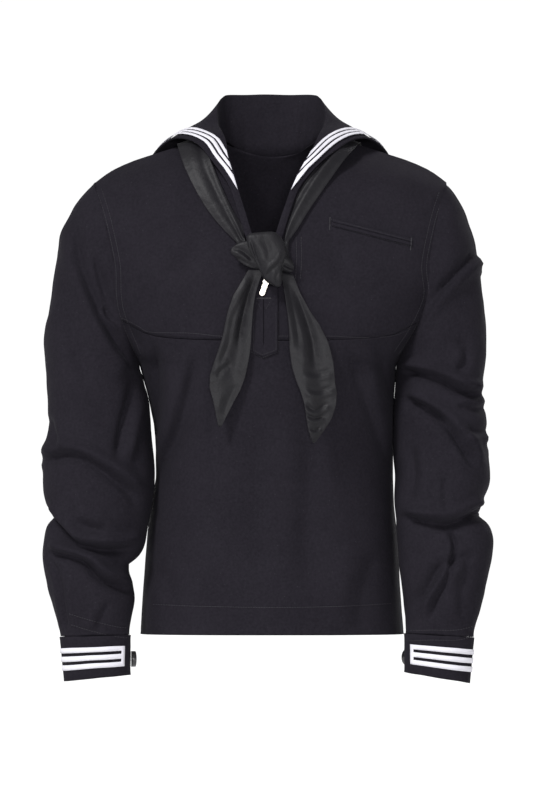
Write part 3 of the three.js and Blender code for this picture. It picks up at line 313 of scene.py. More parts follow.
# Size, amount and seed of the unevenness
BODY_RUMPLES = ((55, 1.6, 1), (21, 0.5, 2))


def rumpled(places, rows):
    return sum(rumple(places, *row) for row in rows)


def seam_calm(places):
    """Zero on the armhole seams and one away from them, so the pieces meet there."""
    calm = np.ones(len(places))
    for stops in ARMHOLES.values():
        signed, _ = from_line(places, curve_through(stops, SEAM_STEPS))
        calm = np.minimum(calm, smooth_step(0, CALM_WIDTH, np.abs(signed)))
    return calm


def push_body(piece):
    """Gives a body panel its folds. The same rule for all panels keeps their seams closed."""
    places = points_of(piece)
    face = places[:, [0, 2]]
    calm = seam_calm(face)
    front = smooth_step(FRONT_BLEND, -FRONT_BLEND, places[:, 1] - SIDE_SEAM_Y)
    height = front * fold_height(face, FRONT_FOLDS) + (1 - front) * fold_height(face, BACK_FOLDS)
    height = height + rumpled(places, BODY_RUMPLES)
    sideways = SIDEWAYS_SHARE * places[:, 0] / BODY_WIDE ** 2
    out = np.stack([sideways, places[:, 1] / BODY_DEEP ** 2, 0 * places[:, 0]], axis=1)
    out /= np.maximum(np.linalg.norm(out, axis=1), 1e-6)[:, None]
    at_side = smooth_step(SIDE_CALM, 0, np.abs(places[:, 1] - SIDE_SEAM_Y))
    height = height * (1 - SIDE_CALMED * at_side)
    set_points(piece, places + (height * calm)[:, None] * out)


RING_APART = 12 * MM
RING_REACH = 16 * MM
RING_PASSES = 4


def middle_line(node):
    """The middle of a sleeve at each height, from its solid."""
    places = points_of(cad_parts[node])
    heights = np.arange(places[:, 2].min(), places[:, 2].max(), RING_APART)
    middles = []
    for z in heights:
        ring = places[np.abs(places[:, 2] - z) < RING_REACH]
        middles.append((ring[:, :2].min(0) + ring[:, :2].max(0)) / 2)
    middles = np.array(middles)
    for _ in range(RING_PASSES):
        middles[1:-1] = (middles[:-2] + 2 * middles[1:-1] + middles[2:]) / 4
    return heights, middles


def away_from_middle(places, line):
    heights, middles = line
    centre = np.stack([np.interp(places[:, 2], heights, middles[:, k]) for k in range(2)], axis=1)
    out = np.zeros_like(places)
    out[:, :2] = places[:, :2] - centre
    return out / np.maximum(np.linalg.norm(out, axis=1), 1e-6)[:, None]


CUFF_SEAM_Z = {"right": -612 * MM, "left": -606 * MM}
# Beside the body a sleeve's inner side has no folds, and swells to lie close to it
INNER_PUSH = 4.5 * MM
INNER_KEPT = 0.3
INNER_FROM, INNER_FULL = 0.7, 0.97
INNER_END_Z, INNER_FULL_Z = -560 * MM, -500 * MM
# The sleeve head's edge is tucked under the body's at the armhole, and lifted to meet it at the shoulder's tip
HEAD_REACH = 12 * MM
HEAD_TUCK = 1.8 * MM
HEAD_RISE = 2.4 * MM
TIP_LOW_Z, TIP_HIGH_Z = -90 * MM, -40 * MM
CUFF_CALM = 14 * MM
SLEEVE_BLEND = 0.45
SLEEVE_RUMPLES = ((38, 1.8, 3), (17, 0.6, 4))


def push_sleeve(piece, side, folds):
    places = points_of(piece)
    face = places[:, [0, 2]]
    out = away_from_middle(places, middle_line(f"sleeve_{side}"))
    front = smooth_step(SLEEVE_BLEND, -SLEEVE_BLEND, out[:, 1])
    height = front * fold_height(face, folds) + (1 - front) * fold_height(face, far_side(folds))
    height = height + rumpled(places, SLEEVE_RUMPLES)
    inward = -out[:, 0] * np.sign(places[:, 0])
    beside_body = smooth_step(INNER_FROM, INNER_FULL, inward) * smooth_step(INNER_END_Z, INNER_FULL_Z, places[:, 2])
    height = height * (1 - beside_body) + beside_body * (INNER_PUSH + INNER_KEPT * np.maximum(height, 0))
    calm = seam_calm(face) * smooth_step(0, CUFF_CALM, places[:, 2] - CUFF_SEAM_Z[side])
    places += (height * calm)[:, None] * out
    signed, _ = from_line(face, curve_through(ARMHOLES[side], SEAM_STEPS))
    near = smooth_step(HEAD_REACH, 0, np.abs(signed))
    at_tip = smooth_step(TIP_LOW_Z, TIP_HIGH_Z, places[:, 2])
    places[:, 0] -= np.sign(places[:, 0]) * near * HEAD_TUCK
    places[:, 2] += near * at_tip * HEAD_RISE
    set_points(piece, places)


# Weave maps: metres along the cloth, across and up, for the weave of each finish
def weave_map(piece, across_and_up, around=None):
    """Writes a UV map in metres. Around is the length once round a tube, so that no face spans the join."""
    places = points_of(piece)
    u, v = across_and_up(places)
    layer = piece.data.uv_layers.new(name="weave")
    count = len(piece.data.loops)
    corners = np.zeros(count, np.int32)
    piece.data.loops.foreach_get("vertex_index", corners)
    us, vs = u[corners], v[corners]
    if around:
        starts = np.zeros(len(piece.data.polygons), np.int32)
        totals = np.zeros(len(piece.data.polygons), np.int32)
        piece.data.polygons.foreach_get("loop_start", starts)
        piece.data.polygons.foreach_get("loop_total", totals)
        owner = np.repeat(np.arange(len(starts)), totals)
        highest = np.maximum.reduceat(us, starts)[owner]
        us = np.where(highest - us > around / 2, us + around, us)
    layer.data.foreach_set("uv", np.stack([us, vs], axis=1).astype(np.float32).ravel())
    piece.data.uv_layers.active = layer


SIDE_TURN = 40 * MM
SIDE_DEPTH = 115 * MM
LEAN_SHARE = 0.7


def body_weave(places):
    turn = np.tanh(places[:, 0] / SIDE_TURN)
    depth = np.abs(places[:, 1]) - SIDE_DEPTH
    return places[:, 0] - turn * depth, places[:, 2]


def tube_weave(node, girth):
    line = middle_line(node)

    def across_and_up(places):
        out = away_from_middle(places, line)
        return np.arctan2(out[:, 0], -out[:, 1]) / (2 * math.pi) * girth, places[:, 2]
    return across_and_up


def flat_weave(places):
    return places[:, 0], places[:, 2] - LEAN_SHARE * places[:, 1]


# Materials
def fresh_material(name):
    material = bpy.data.materials.new(name)
    material.use_nodes = True
    nodes = material.node_tree.nodes
    nodes.clear()
    shader = nodes.new("ShaderNodeBsdfPrincipled")
    output = nodes.new("ShaderNodeOutputMaterial")
    material.node_tree.links.new(shader.outputs["BSDF"], output.inputs["Surface"])
    return material, shader


def add(material, kind, inputs=None, **settings):
    """Adds a node, sets its properties, and joins or sets its inputs."""
    node = material.node_tree.nodes.new(kind)
    for name, value in settings.items():
        setattr(node, name, value)
    for name, value in (inputs or {}).items():
        if isinstance(value, bpy.types.NodeSocket):
            material.node_tree.links.new(value, node.inputs[name])
        else:
            node.inputs[name].default_value = value
    return node


def join(material, source, target):
    material.node_tree.links.new(source, target)


def unevenness(material, place, size, low, high):
    """A noise of one grain size in millimetres, spread between two values."""
    grain = add(material, "ShaderNodeTexNoise", {"Vector": place, "Scale": 1 / (size * MM), "Detail": 3.0})
    spread = add(material, "ShaderNodeMapRange", {
        "Value": grain.outputs["Fac"], "From Min": 0.3, "From Max": 0.7, "To Min": low, "To Max": high})
    return spread.outputs["Result"]


def ribs(material, pitch, turn):
    """Fine even ribs of a weave along the weave map, a pitch apart in millimetres and turned by an angle."""
    uv = add(material, "ShaderNodeUVMap", uv_map="weave")
    turned = add(material, "ShaderNodeMapping", {"Vector": uv.outputs["UV"], "Rotation": (0, 0, math.radians(turn))})
    wave = add(material, "ShaderNodeTexWave", {
        "Vector": turned.outputs["Vector"], "Scale": 2 * math.pi / (20 * pitch * MM), "Distortion": 0.4,
        "Detail": 1.0, "Detail Scale": 2.0}, bands_direction="X")
    return wave.outputs["Fac"]


def product(material, a, b):
    return add(material, "ShaderNodeMath", {0: a, 1: b}, operation="MULTIPLY").outputs["Value"]


def total(material, a, b):
    return add(material, "ShaderNodeMath", {0: a, 1: b}, operation="ADD").outputs["Value"]


LINT = (0.12, 0.115, 0.13)
# A mix node has sockets for several kinds of value. These are its two colours and the colour that comes out.
MIX_FIRST, MIX_SECOND, MIX_OUT = 6, 7, 2


def blend(material, share, first, second):
    """A colour between two. Each of them is a colour or another node's output."""
    mix = add(material, "ShaderNodeMix", {"Factor": share}, data_type="RGBA")
    for socket, colour in ((MIX_FIRST, first), (MIX_SECOND, second)):
        if isinstance(colour, bpy.types.NodeSocket):
            join(material, colour, mix.inputs[socket])
        else:
            mix.inputs[socket].default_value = (*colour, 1)
    return mix.outputs[MIX_OUT]


def relief(material, height, strength, deep, under=None):
    """A bump's normal, with its depth in millimetres."""
    inputs = {"Height": height, "Strength": strength, "Distance": deep * MM}
    if under:
        inputs["Normal"] = under
    return add(material, "ShaderNodeBump", inputs).outputs["Normal"]


def wool_material(name, base, light):
    """Napped twill: diagonal ribs under a short nap, with lint and slight unevenness of the dye."""
    material, shader = fresh_material(name)
    place = add(material, "ShaderNodeTexCoord").outputs["Object"]
    twill = ribs(material, 0.85, 38)
    nap = unevenness(material, place, 0.7, 0, 1)
    clump = unevenness(material, place, 3, 0, 1)
    broad = unevenness(material, place, 60, 0, 1)
    height = total(material, product(material, twill, 0.5), product(material, nap, 0.8))
    height = total(material, height, product(material, clump, 0.5))
    tone = total(material, product(material, nap, 0.4), product(material, clump, 0.45))
    tone = total(material, tone, product(material, twill, 0.2))
    tone = total(material, tone, product(material, broad, 0.22))
    colour = blend(material, tone, base, light)
    lint_grain = add(material, "ShaderNodeTexVoronoi", {"Vector": place, "Scale": 1 / (9 * MM), "Randomness": 1.0})
    lint = add(material, "ShaderNodeMapRange", {
        "Value": lint_grain.outputs["Distance"], "From Min": 0.05, "From Max": 0.028, "To Min": 0.0, "To Max": 0.3})
    join(material, blend(material, lint.outputs["Result"], colour, LINT), shader.inputs["Base Color"])
    shader.inputs["Roughness"].default_value = 0.88
    shader.inputs["Specular IOR Level"].default_value = 0.05
    shader.inputs["Sheen Weight"].default_value = 0.015
    shader.inputs["Sheen Roughness"].default_value = 0.45
    shader.inputs["Sheen Tint"].default_value = (0.62, 0.6, 0.72, 1)
    join(material, relief(material, height, 0.6, 0.12), shader.inputs["Normal"])
    return material


def silk_material(name, base, light):
    """Plain silk with a soft sheen: fine cross ribs and faint creasing, with painted highlight and painted shade on
    the creases and lighter slubs.
    """
    material, shader = fresh_material(name)
    place = add(material, "ShaderNodeTexCoord").outputs["Object"]
    weft = ribs(material, 0.5, 0)
    warp = ribs(material, 0.42, 90)
    creasing_and_painted_shade = unevenness(material, place, 11, 0, 1)
    slub = unevenness(material, place, 1.5, 0, 1)
    height = total(material, product(material, weft, 0.3), product(material, warp, 0.3))
    height = total(material, height, product(material, slub, 0.2))
    fine = relief(material, height, 0.35, 0.08)
    join(material, relief(material, creasing_and_painted_shade, 0.5, 0.9, fine), shader.inputs["Normal"])
    # Painted highlight and painted shade: the colour is lighter on the creases' ridges and darker in their troughs,
    # and the slubs vary it at random
    tone = total(material, product(material, creasing_and_painted_shade, 0.4), product(material, slub, 0.3))
    join(material, blend(material, tone, base, light), shader.inputs["Base Color"])
    shader.inputs["Roughness"].default_value = 0.5
    shader.inputs["Specular IOR Level"].default_value = 0.16
    shader.inputs["Sheen Weight"].default_value = 0.03
    shader.inputs["Sheen Roughness"].default_value = 0.3
    return material


def tape_material(name, base, shade):
    """White woven tape: close cross ribs with painted shade that follows them, and a little soil in broad patches.
    """
    material, shader = fresh_material(name)
    place = add(material, "ShaderNodeTexCoord").outputs["Object"]
    rib = ribs(material, 0.7, 55)
    fuzz = unevenness(material, place, 0.9, 0, 1)
    wear = unevenness(material, place, 14, 0, 1)
    # Painted shade: the colour darkens with the ribs' relief; the broader wear is soil
    tone = total(material, product(material, rib, 0.3), product(material, wear, 0.35))
    join(material, blend(material, tone, base, shade), shader.inputs["Base Color"])
    height = total(material, product(material, rib, 0.6), product(material, fuzz, 0.4))
    join(material, relief(material, height, 0.5, 0.15), shader.inputs["Normal"])
    shader.inputs["Roughness"].default_value = 0.8
    shader.inputs["Sheen Weight"].default_value = 0.1
    return material


def thread_material(name, colour, roughness):
    material, shader = fresh_material(name)
    place = add(material, "ShaderNodeTexCoord").outputs["Object"]
    ply = unevenness(material, place, 0.4, 0, 1)
    bright = [1.5 * part for part in colour]
    join(material, blend(material, ply, colour, bright), shader.inputs["Base Color"])
    join(material, relief(material, ply, 0.4, 0.05), shader.inputs["Normal"])
    shader.inputs["Roughness"].default_value = roughness
    return material


def metal_material(name, colour, dull):
    """Plated metal with fine scratches and duller patches."""
    material, shader = fresh_material(name)
    place = add(material, "ShaderNodeTexCoord").outputs["Object"]
    scuff = unevenness(material, place, 1.2, 0.26, 0.48)
    patch = unevenness(material, place, 5, 0, 1)
    join(material, blend(material, patch, colour, dull), shader.inputs["Base Color"])
    join(material, scuff, shader.inputs["Roughness"])
    join(material, relief(material, scuff, 0.3, 0.05), shader.inputs["Normal"])
    shader.inputs["Metallic"].default_value = 1
    return material


def button_material(name, base, light):
    """Polished dark plastic, a little scuffed."""
    material, shader = fresh_material(name)
    place = add(material, "ShaderNodeTexCoord").outputs["Object"]
    scuff = unevenness(material, place, 1.5, 0.18, 0.36)
    swirl = unevenness(material, place, 6, 0, 1)
    join(material, blend(material, swirl, base, light), shader.inputs["Base Color"])
    join(material, scuff, shader.inputs["Roughness"])
    join(material, relief(material, swirl, 0.1, 0.1), shader.inputs["Normal"])
    shader.inputs["Coat Weight"].default_value = 0.3
    return material


WOOL = wool_material("wool", (0.0055, 0.0048, 0.007), (0.014, 0.0125, 0.0168))
# The silk's second colour is its painted highlight on the crease ridges, and also the colour of its lighter slubs
SILK = silk_material("silk", (0.0068, 0.0064, 0.008), (0.011, 0.0104, 0.0126))
# The tape's second colour is its painted shade along the ribs, and also the colour of its soil
TAPE = tape_material("tape", (0.6, 0.59, 0.64), (0.48, 0.47, 0.52))
WOOL_THREAD = thread_material("wool_thread", (0.0115, 0.0105, 0.014), 0.6)
SILK_THREAD = thread_material("silk_thread", (0.016, 0.0152, 0.0185), 0.5)
METAL = metal_material("zip_metal", (0.42, 0.4, 0.37), (0.26, 0.235, 0.2))
BUTTON = button_material("button", (0.006, 0.006, 0.008), (0.014, 0.013, 0.014))

BODY = "jumper"


def finish_piece(piece, material, nodes=()):
    piece.data.materials.clear()
    piece.data.materials.append(material)
    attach(piece, BODY)
    if nodes:
        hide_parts(*nodes)


dressed = {}


def dress(node, levels, push=None, weave=None, around=None, material=WOOL, name=None):
    piece = cloth_from(node, name or f"{node}_cloth", levels)
    if push:
        push(piece)
    weave_map(piece, weave or body_weave, around)
    finish_piece(piece, material, [node])
    dressed[node] = piece
    return piece


for panel, levels in (("front_body", 3), ("front_yoke_right", 3), ("front_yoke_left", 3), ("back_body", 3)):
    dress(panel, levels, push_body)

SLEEVE_GIRTH = 0.36
for side, folds in (("right", SLEEVE_RIGHT_FOLDS), ("left", SLEEVE_LEFT_FOLDS)):
    node = f"sleeve_{side}"
    weave = tube_weave(node, SLEEVE_GIRTH)
    sleeve = dress(node, 3, lambda piece: push_sleeve(piece, side, folds), weave, SLEEVE_GIRTH)


# Cuffs
CUFF_GIRTH = 0.24


CUFF_SOFT = (24, 0.5, 11)


def soften(size, amount, seed):
    """A push that moves cloth a little each way, the same on both its faces."""
    def push(piece):
        places = points_of(piece)
        shift = np.stack([rumple(places, size, amount, seed + k) for k in range(3)], axis=1)
        set_points(piece, places + shift)
    return push


for side in ("right", "left"):
    node = f"cuff_{side}"
    cuff = dress(node, 3, soften(*CUFF_SOFT), tube_weave(node, CUFF_GIRTH), CUFF_GIRTH)
    dress(f"cuff_tape_{side}", 1, soften(*CUFF_SOFT), tube_weave(node, CUFF_GIRTH), CUFF_GIRTH, TAPE)


# Collar, with its creases at the back of the neck, and the stripes that lie on it
COLLAR_FOLDS = [
    {"line": [(303, 104), (305, 122), (300, 146)], "width": 4, "depth": 2.9, "ridge": 2.1},
    {"line": [(238, 146), (247, 138), (262, 146)], "width": 5, "depth": 1.6, "ridge": 1.3},
    {"line": [(232, 110), (229, 128), (236, 150)], "width": 5, "depth": 1.8, "ridge": 1.3, "side": -1},
    {"line": [(262, 101), (266, 120), (261, 142)], "width": 9, "depth": 1.2, "ridge": 1},
]


def push_collar(piece):
    places = points_of(piece)
    face = places[:, [0, 2]]
    at_nape = smooth_step(0.03, 0.055, places[:, 1]) * smooth_step(-0.005, 0.01, places[:, 2])
    shift = np.stack([rumple(places, 32, 0.7, 21 + k) for k in range(3)], axis=1)
    shift[:, 1] -= fold_height(face, COLLAR_FOLDS) * at_nape
    set_points(piece, places + shift)


dress("collar", 2, push_collar, flat_weave)
for stripe in ("outer", "middle", "inner"):
    dress(f"collar_stripe_{stripe}", 1, push_collar, flat_weave, None, TAPE)


# Neckerchief
def across_share(face, inner, outer):
    """Where each place lies between two edge lines: 0 on the inner one and 1 on the outer one."""
    to_inner = np.abs(from_line(face, curve_through(inner, 30))[0])
    to_outer = np.abs(from_line(face, curve_through(outer, 30))[0])
    return to_inner / np.maximum(to_inner + to_outer, 1e-6)


STRETCH_EDGES = {
    "right": {"inner": [(213, 140), (222, 175), (234, 205), (245, 236)],
              "outer": [(178, 143), (184, 168), (198, 194), (212, 217), (228, 235), (236, 246)]},
    "left": {"inner": [(329, 142), (311, 164), (294, 191), (283, 216), (279, 240)],
             "outer": [(356, 142), (345, 160), (322, 192), (304, 219), (288, 243)]},
}
# Lengthwise pleats of each stretch: share across, half width as a share, and height in millimetres
STRETCH_PLEATS = {
    "right": [{"at": 0.22, "half": 0.1, "high": 1.4}, {"at": 0.42, "half": 0.1, "high": -1.1},
              {"at": 0.72, "half": 0.16, "high": 0.9}],
    "left": [{"at": 0.3, "half": 0.11, "high": -1.2}, {"at": 0.5, "half": 0.12, "high": 1.5},
             {"at": 0.78, "half": 0.12, "high": -0.7}],
}


def pleat_height(share, pleats):
    return MM * sum(p["high"] * np.exp(-((share - p["at"]) / p["half"]) ** 2) for p in pleats)


def push_stretch(side):
    def push(piece):
        places = points_of(piece)
        face = places[:, [0, 2]]
        edges = STRETCH_EDGES[side]
        share = across_share(face, edges["inner"], edges["outer"])
        front = smooth_step(0.0, -0.03, places[:, 1])
        height = front * pleat_height(share, STRETCH_PLEATS[side]) + rumple(places, 26, 0.5, 31)
        out = np.stack([0 * height, places[:, 1] - 0.015, np.clip(places[:, 2] + 0.05, 0, 0.05)], axis=1)
        out /= np.maximum(np.linalg.norm(out, axis=1), 1e-6)[:, None]
        set_points(piece, places + height[:, None] * out)
    return push


for side in ("right", "left"):
    node = f"neckerchief_{side}"
    stretch = dress(node, 3, push_stretch(side), flat_weave, None, SILK)

# Folds of the knot and the tails, as pixels
WRAP_FOLDS = [
    {"line": [(250, 238), (255, 254), (263, 274)], "width": 2.2, "depth": 2.7, "ridge": 2.7, "side": 1},
    {"line": [(286, 250), (280, 262), (270, 272), (264, 280)], "width": 2.6, "depth": 1.8, "ridge": 2.1},
    {"line": [(262, 236), (268, 250), (270, 266)], "width": 5, "depth": 0.9, "ridge": 1.2},
    {"line": [(279, 270), (276, 280), (280, 288)], "width": 2.4, "depth": 1.2, "ridge": 0.9},
]
LOOP_FOLDS = [
    {"line": [(229, 251), (240, 250), (255, 262)], "width": 3, "depth": 2.4, "ridge": 2.1},
    {"line": [(234, 257), (246, 263), (258, 270)], "width": 2.4, "depth": 1.5, "ridge": 1.5},
    {"line": [(283, 264), (290, 268), (296, 270)], "width": 1.8, "depth": 1.8, "ridge": 1.2},
]
TAIL_FOLDS = {
    "right": [
        {"line": [(257, 272), (247, 300), (240, 330), (237, 352)], "width": 4, "depth": 3.6, "ridge": 2.7},
        {"line": [(252, 280), (236, 312), (228, 345), (216, 376)], "width": 4, "depth": 1.8, "ridge": 2.1},
        {"line": [(232, 362), (222, 370), (216, 378)], "width": 3, "depth": 2.1, "ridge": 1.5},
        {"line": [(240, 380), (230, 398), (222, 418)], "width": 5, "depth": 1.2, "ridge": 1.2},
    ],
    "left": [
        {"line": [(286, 276), (292, 305), (297, 330), (299, 352)], "width": 4, "depth": 2.4, "ridge": 3, "side": 1},
        {"line": [(293, 284), (306, 320), (313, 350), (311, 380)], "width": 5, "depth": 3, "ridge": 2.1},
        {"line": [(303, 372), (317, 374), (334, 370)], "width": 3, "depth": 1.8, "ridge": 1.8},
        {"line": [(305, 388), (318, 391), (336, 386)], "width": 3, "depth": 2, "ridge": 1.8},
        {"line": [(305, 402), (314, 410), (330, 402)], "width": 2.6, "depth": 2.7, "ridge": 2.1},
        {"line": [(306, 414), (314, 418), (325, 416)], "width": 2.4, "depth": 2.7, "ridge": 2.1},
        {"line": [(309, 428), (315, 430), (321, 427)], "width": 2, "depth": 2.1, "ridge": 1.8},
    ],
}


def push_forward(folds, seed, size=16, amount=0.6):
    def push(piece):
        places = points_of(piece)
        height = fold_height(places[:, [0, 2]], folds) + rumple(places, size, amount, seed)
        places[:, 1] -= height
        set_points(piece, places)
    return push


SMOOTH_ALL = math.radians(179)


def dress_knot(node, folds, seed):
    piece = cloth_from(node, f"{node}_silk", 3, SMOOTH_ALL)
    push_forward(folds, seed, 12, 0.5)(piece)
    weave_map(piece, flat_weave)
    finish_piece(piece, SILK, [node])
    dressed[node] = piece


dress_knot("knot_wrap", WRAP_FOLDS, 41)
dress_knot("knot_loops", LOOP_FOLDS, 42)
for side in ("right", "left"):
    node = f"tail_{side}"
    tail = dress(node, 3, push_forward(TAIL_FOLDS[side], 43), flat_weave, None, SILK)

# Front placket and the pocket's jets follow the panels that they lie on
dress("front_placket", 2, push_body)
JET_SUNK = 0.8 * MM


def push_jet(piece):
    """A jet follows the yoke and is pressed flat into its nap."""
    push_body(piece)
    places = points_of(piece)
    places[:, 1] += JET_SUNK
    set_points(piece, places)


for jet in ("upper", "lower"):
    dress(f"pocket_jet_{jet}", 2, push_jet)


# Stitches
def tree_of(pieces):
    """One search tree over several pieces' surfaces."""
    points, faces = [], []
    for piece in pieces:
        start = len(points)
        points.extend(v.co.copy() for v in piece.data.vertices)
        faces.extend(tuple(start + i for i in p.vertices) for p in piece.data.polygons)
    return BVHTree.FromPolygons(points, faces)


def model_stitch():
    """One stitch, a metre long and thick, to be copied smaller."""
    deselect()
    bpy.ops.mesh.primitive_uv_sphere_add(segments=6, ring_count=4, radius=0.5, rotation=(0, math.pi / 2, 0))
    stitch = bpy.context.object
    bpy.ops.object.transform_apply(location=True, rotation=True, scale=True)
    places = points_of(stitch)
    faces = [tuple(p.vertices) for p in stitch.data.polygons]
    bpy.data.objects.remove(stitch)
    return places, faces


STITCH_POINTS, STITCH_FACES = model_stitch()
STITCH_LONG = 2.5
STITCH_GAP = 0.7
STITCH_THICK = 0.62
STITCH_FLAT = 0.8
STITCH_LIFT = 0.12 * MM
TACK_LIFT = 0.25 * MM


def sew(name, stitches, material):
    """Joins stitches into one piece. Each is a middle, a direction along, one outwards, a length and a thickness."""
    points, faces = [], []
    for middle, along, out, long, thick in stitches:
        along = (along - out * along.dot(out)).normalized()
        side = out.cross(along)
        start = len(points)
        for x, y, z in STITCH_POINTS:
            points.append(middle + along * (x * long) + side * (y * thick) + out * (z * thick * STITCH_FLAT))
        faces.extend(tuple(start + i for i in face) for face in STITCH_FACES)
    mesh = bpy.data.meshes.new(name)
    mesh.from_pydata(points, [], faces)
    piece = bpy.data.objects.new(name, mesh)
    bpy.context.collection.objects.link(piece)
    select(piece)
    bpy.ops.object.shade_smooth()
    finish_piece(piece, material)
    return piece


FAR_OFF = 0.4


def row_of_stitches(line, tree, long=STITCH_LONG, gap=STITCH_GAP, thick=STITCH_THICK, from_front=True):
    """Stitches along an across-and-up line, laid on the first surface that is met from the front or the back."""
    length = np.linalg.norm(np.diff(line, axis=0), axis=1).sum() / MM
    count = max(2, int(length / (long + gap)) + 1)
    along = np.concatenate([[0], np.cumsum(np.linalg.norm(np.diff(line, axis=0), axis=1))])
    even = np.linspace(0, along[-1], count)
    spots = np.stack([np.interp(even, along, line[:, k]) for k in range(2)], axis=1)
    start_y, toward = (-FAR_OFF, Vector((0, 1, 0))) if from_front else (FAR_OFF, Vector((0, -1, 0)))
    hits = [tree.ray_cast(Vector((x, start_y, z)), toward)[:2] for x, z in spots]
    stitches = []
    for i, (place, normal) in enumerate(hits):
        before, after = hits[max(i - 1, 0)][0], hits[min(i + 1, count - 1)][0]
        if place is None or before is None or after is None or (after - before).length < 1e-5:
            continue
        if (after - before).length > 4 * (long + gap) * MM:
            continue
        out = normal if normal.dot(toward) < 0 else -normal
        stitches.append((place + out * STITCH_LIFT, after - before, out, long * MM, thick * MM))
    return stitches


def beside(line, away):
    """A line moved sideways by millimetres, to its right when positive."""
    run = np.gradient(line, axis=0)
    run /= np.linalg.norm(run, axis=1)[:, None]
    return line + away * MM * np.stack([run[:, 1], -run[:, 0]], axis=1)


front_tree = tree_of([dressed[n] for n in ("front_body", "front_yoke_right", "front_yoke_left")])
back_tree = tree_of([dressed["back_body"]])

# Armhole rows, one close to the seam and one further in, in front and behind
ARMHOLE_ROWS = (2.0, 8.0)
for side, inward in (("right", -1), ("left", 1)):
    seam = curve_through(ARMHOLES[side], 60)
    stitches = []
    for away in ARMHOLE_ROWS:
        row = beside(seam, inward * away)
        stitches += row_of_stitches(row[2:-3], front_tree)
        stitches += row_of_stitches(row[3:-3], back_tree, from_front=False)
    sew(f"armhole_stitches_{side}", stitches, WOOL_THREAD)

# Yoke seam rows, just above the seam
YOKE_SEAMS = {
    "right": [(122, 320), (138, 328), (150, 334), (190, 335), (219, 338), (250, 339)],
    "left": [(280, 338), (327, 338), (350, 339), (375, 339.5), (395, 337), (411, 331)],
}
for side, stops in YOKE_SEAMS.items():
    row = beside(curve_through(stops, 50), -2.2)
    sew(f"yoke_stitches_{side}", row_of_stitches(row, front_tree), WOOL_THREAD)

# Hem rows, in front and behind
HEM_ROW = [(141, 604), (200, 606), (271, 607), (340, 606), (403, 603)]
hem_line = curve_through(HEM_ROW, 120)
sew("hem_stitches_front", row_of_stitches(hem_line, front_tree), WOOL_THREAD)
sew("hem_stitches_back", row_of_stitches(hem_line, back_tree, from_front=False), WOOL_THREAD)

# Placket: two rows round its pointed end, and the bar tack and small point at the top of the slit
PLACKET_EDGE = [
    (251.5, 312), (251, 335), (251, 352), (262, 358), (274, 353.5), (278.5, 352), (278.5, 335), (278.5, 312)]
PLACKET_INNER = [
    (254, 314), (253.5, 335), (253.5, 350), (262, 355), (272, 351.5), (276, 350), (276, 335), (276, 314)]
BAR_TACK = [(257, 298.5), (271, 298.5)]
POINT_ROW = [(257, 303), (260, 307.5), (264, 312), (267, 307.5), (269.5, 303)]


def straight(stops):
    """A line with corners through pixels of the photograph, in metres."""
    return np.array([spot(*stop) for stop in stops])


both_fronts = tree_of([dressed[n] for n in ("front_body", "front_yoke_right", "front_yoke_left", "front_placket")])
placket_stitches = []
for stops in (PLACKET_EDGE, PLACKET_INNER, POINT_ROW):
    placket_stitches += row_of_stitches(straight(stops), both_fronts, 1.9, 0.6, 0.5)
sew("placket_stitches", placket_stitches, WOOL_THREAD)


def tack(line, tree, wide, pitch=0.55, thick=0.5):
    """A bar tack: close satin stitches across a line."""
    run = line[-1] - line[0]
    count = max(3, int(np.linalg.norm(run) / (pitch * MM)))
    out = Vector((0, -1, 0))
    across = Vector((-run[1], 0, run[0])).normalized()
    stitches = []
    for t in np.linspace(0, 1, count):
        x, z = line[0] + run * t
        place = tree.ray_cast(Vector((x, -FAR_OFF, z)), Vector((0, 1, 0)))[0]
        if place is not None:
            stitches.append((place + out * TACK_LIFT, across, out, wide * MM, thick * MM))
    return stitches


sew("placket_tack", tack(straight(BAR_TACK), both_fronts, 2.2), SILK_THREAD)

# Pocket: rows beside both jets, and a tack at each end
POCKET_SLIT = [(331, 222.5), (411, 243.5)]
POCKET_TACKS = [[(330, 217.5), (329.5, 230)], [(411.5, 238), (410.5, 250)]]
pocket_pieces = [dressed[n] for n in ("front_yoke_left", "pocket_jet_upper", "pocket_jet_lower")]
pocket_tree = tree_of(pocket_pieces)
slit = straight(POCKET_SLIT)
pocket_stitches = []
for away in (-3.6, 3.6):
    pocket_stitches += row_of_stitches(beside(slit, away), pocket_tree, 1.8, 0.6, 0.45)
for stops in POCKET_TACKS:
    pocket_stitches += tack(straight(stops), pocket_tree, 1.8)
sew("pocket_stitches", pocket_stitches, WOOL_THREAD)


# Cuff rows, above the seam on the sleeve and below it on the cuff
CUFF_ROWS = {
    "right": [[(70, 614), (90, 620), (118, 627), (136, 628)], [(72, 625), (92, 631), (118, 637), (134, 638)]],
    "left": [[(406, 631), (430, 630), (456, 630), (474, 626)], [(407, 641), (430, 640), (456, 640), (472, 637)]],
}
for side, rows in CUFF_ROWS.items():
    tube_tree = tree_of([dressed[f"sleeve_{side}"], dressed[f"cuff_{side}"]])
    stitches = []
    for stops in rows:
        row = curve_through(stops, 40)
        stitches += row_of_stitches(row, tube_tree)
        stitches += row_of_stitches(row, tube_tree, from_front=False)
    sew(f"cuff_stitches_{side}", stitches, WOOL_THREAD)

# Two short rows down the front beside the knot
KNOT_ROWS = [[(296, 238), (296.5, 258), (295.5, 278)], [(301, 238), (301.5, 258), (300.5, 278)]]
facing_stitches = []
for stops in KNOT_ROWS:
    facing_stitches += row_of_stitches(curve_through(stops, 20), front_tree)
sew("facing_stitches", facing_stitches, WOOL_THREAD)


# Buttons of the cuffs, with a raised rim and four thread holes. Rim, slope, round and hole are shares of the radius.
BUTTON_SHAPE = {"thick": 0.9, "rim": 0.2, "slope": 0.08, "dish": 0.45, "round": 0.035, "hole": 0.1, "hole_at": 0.2}


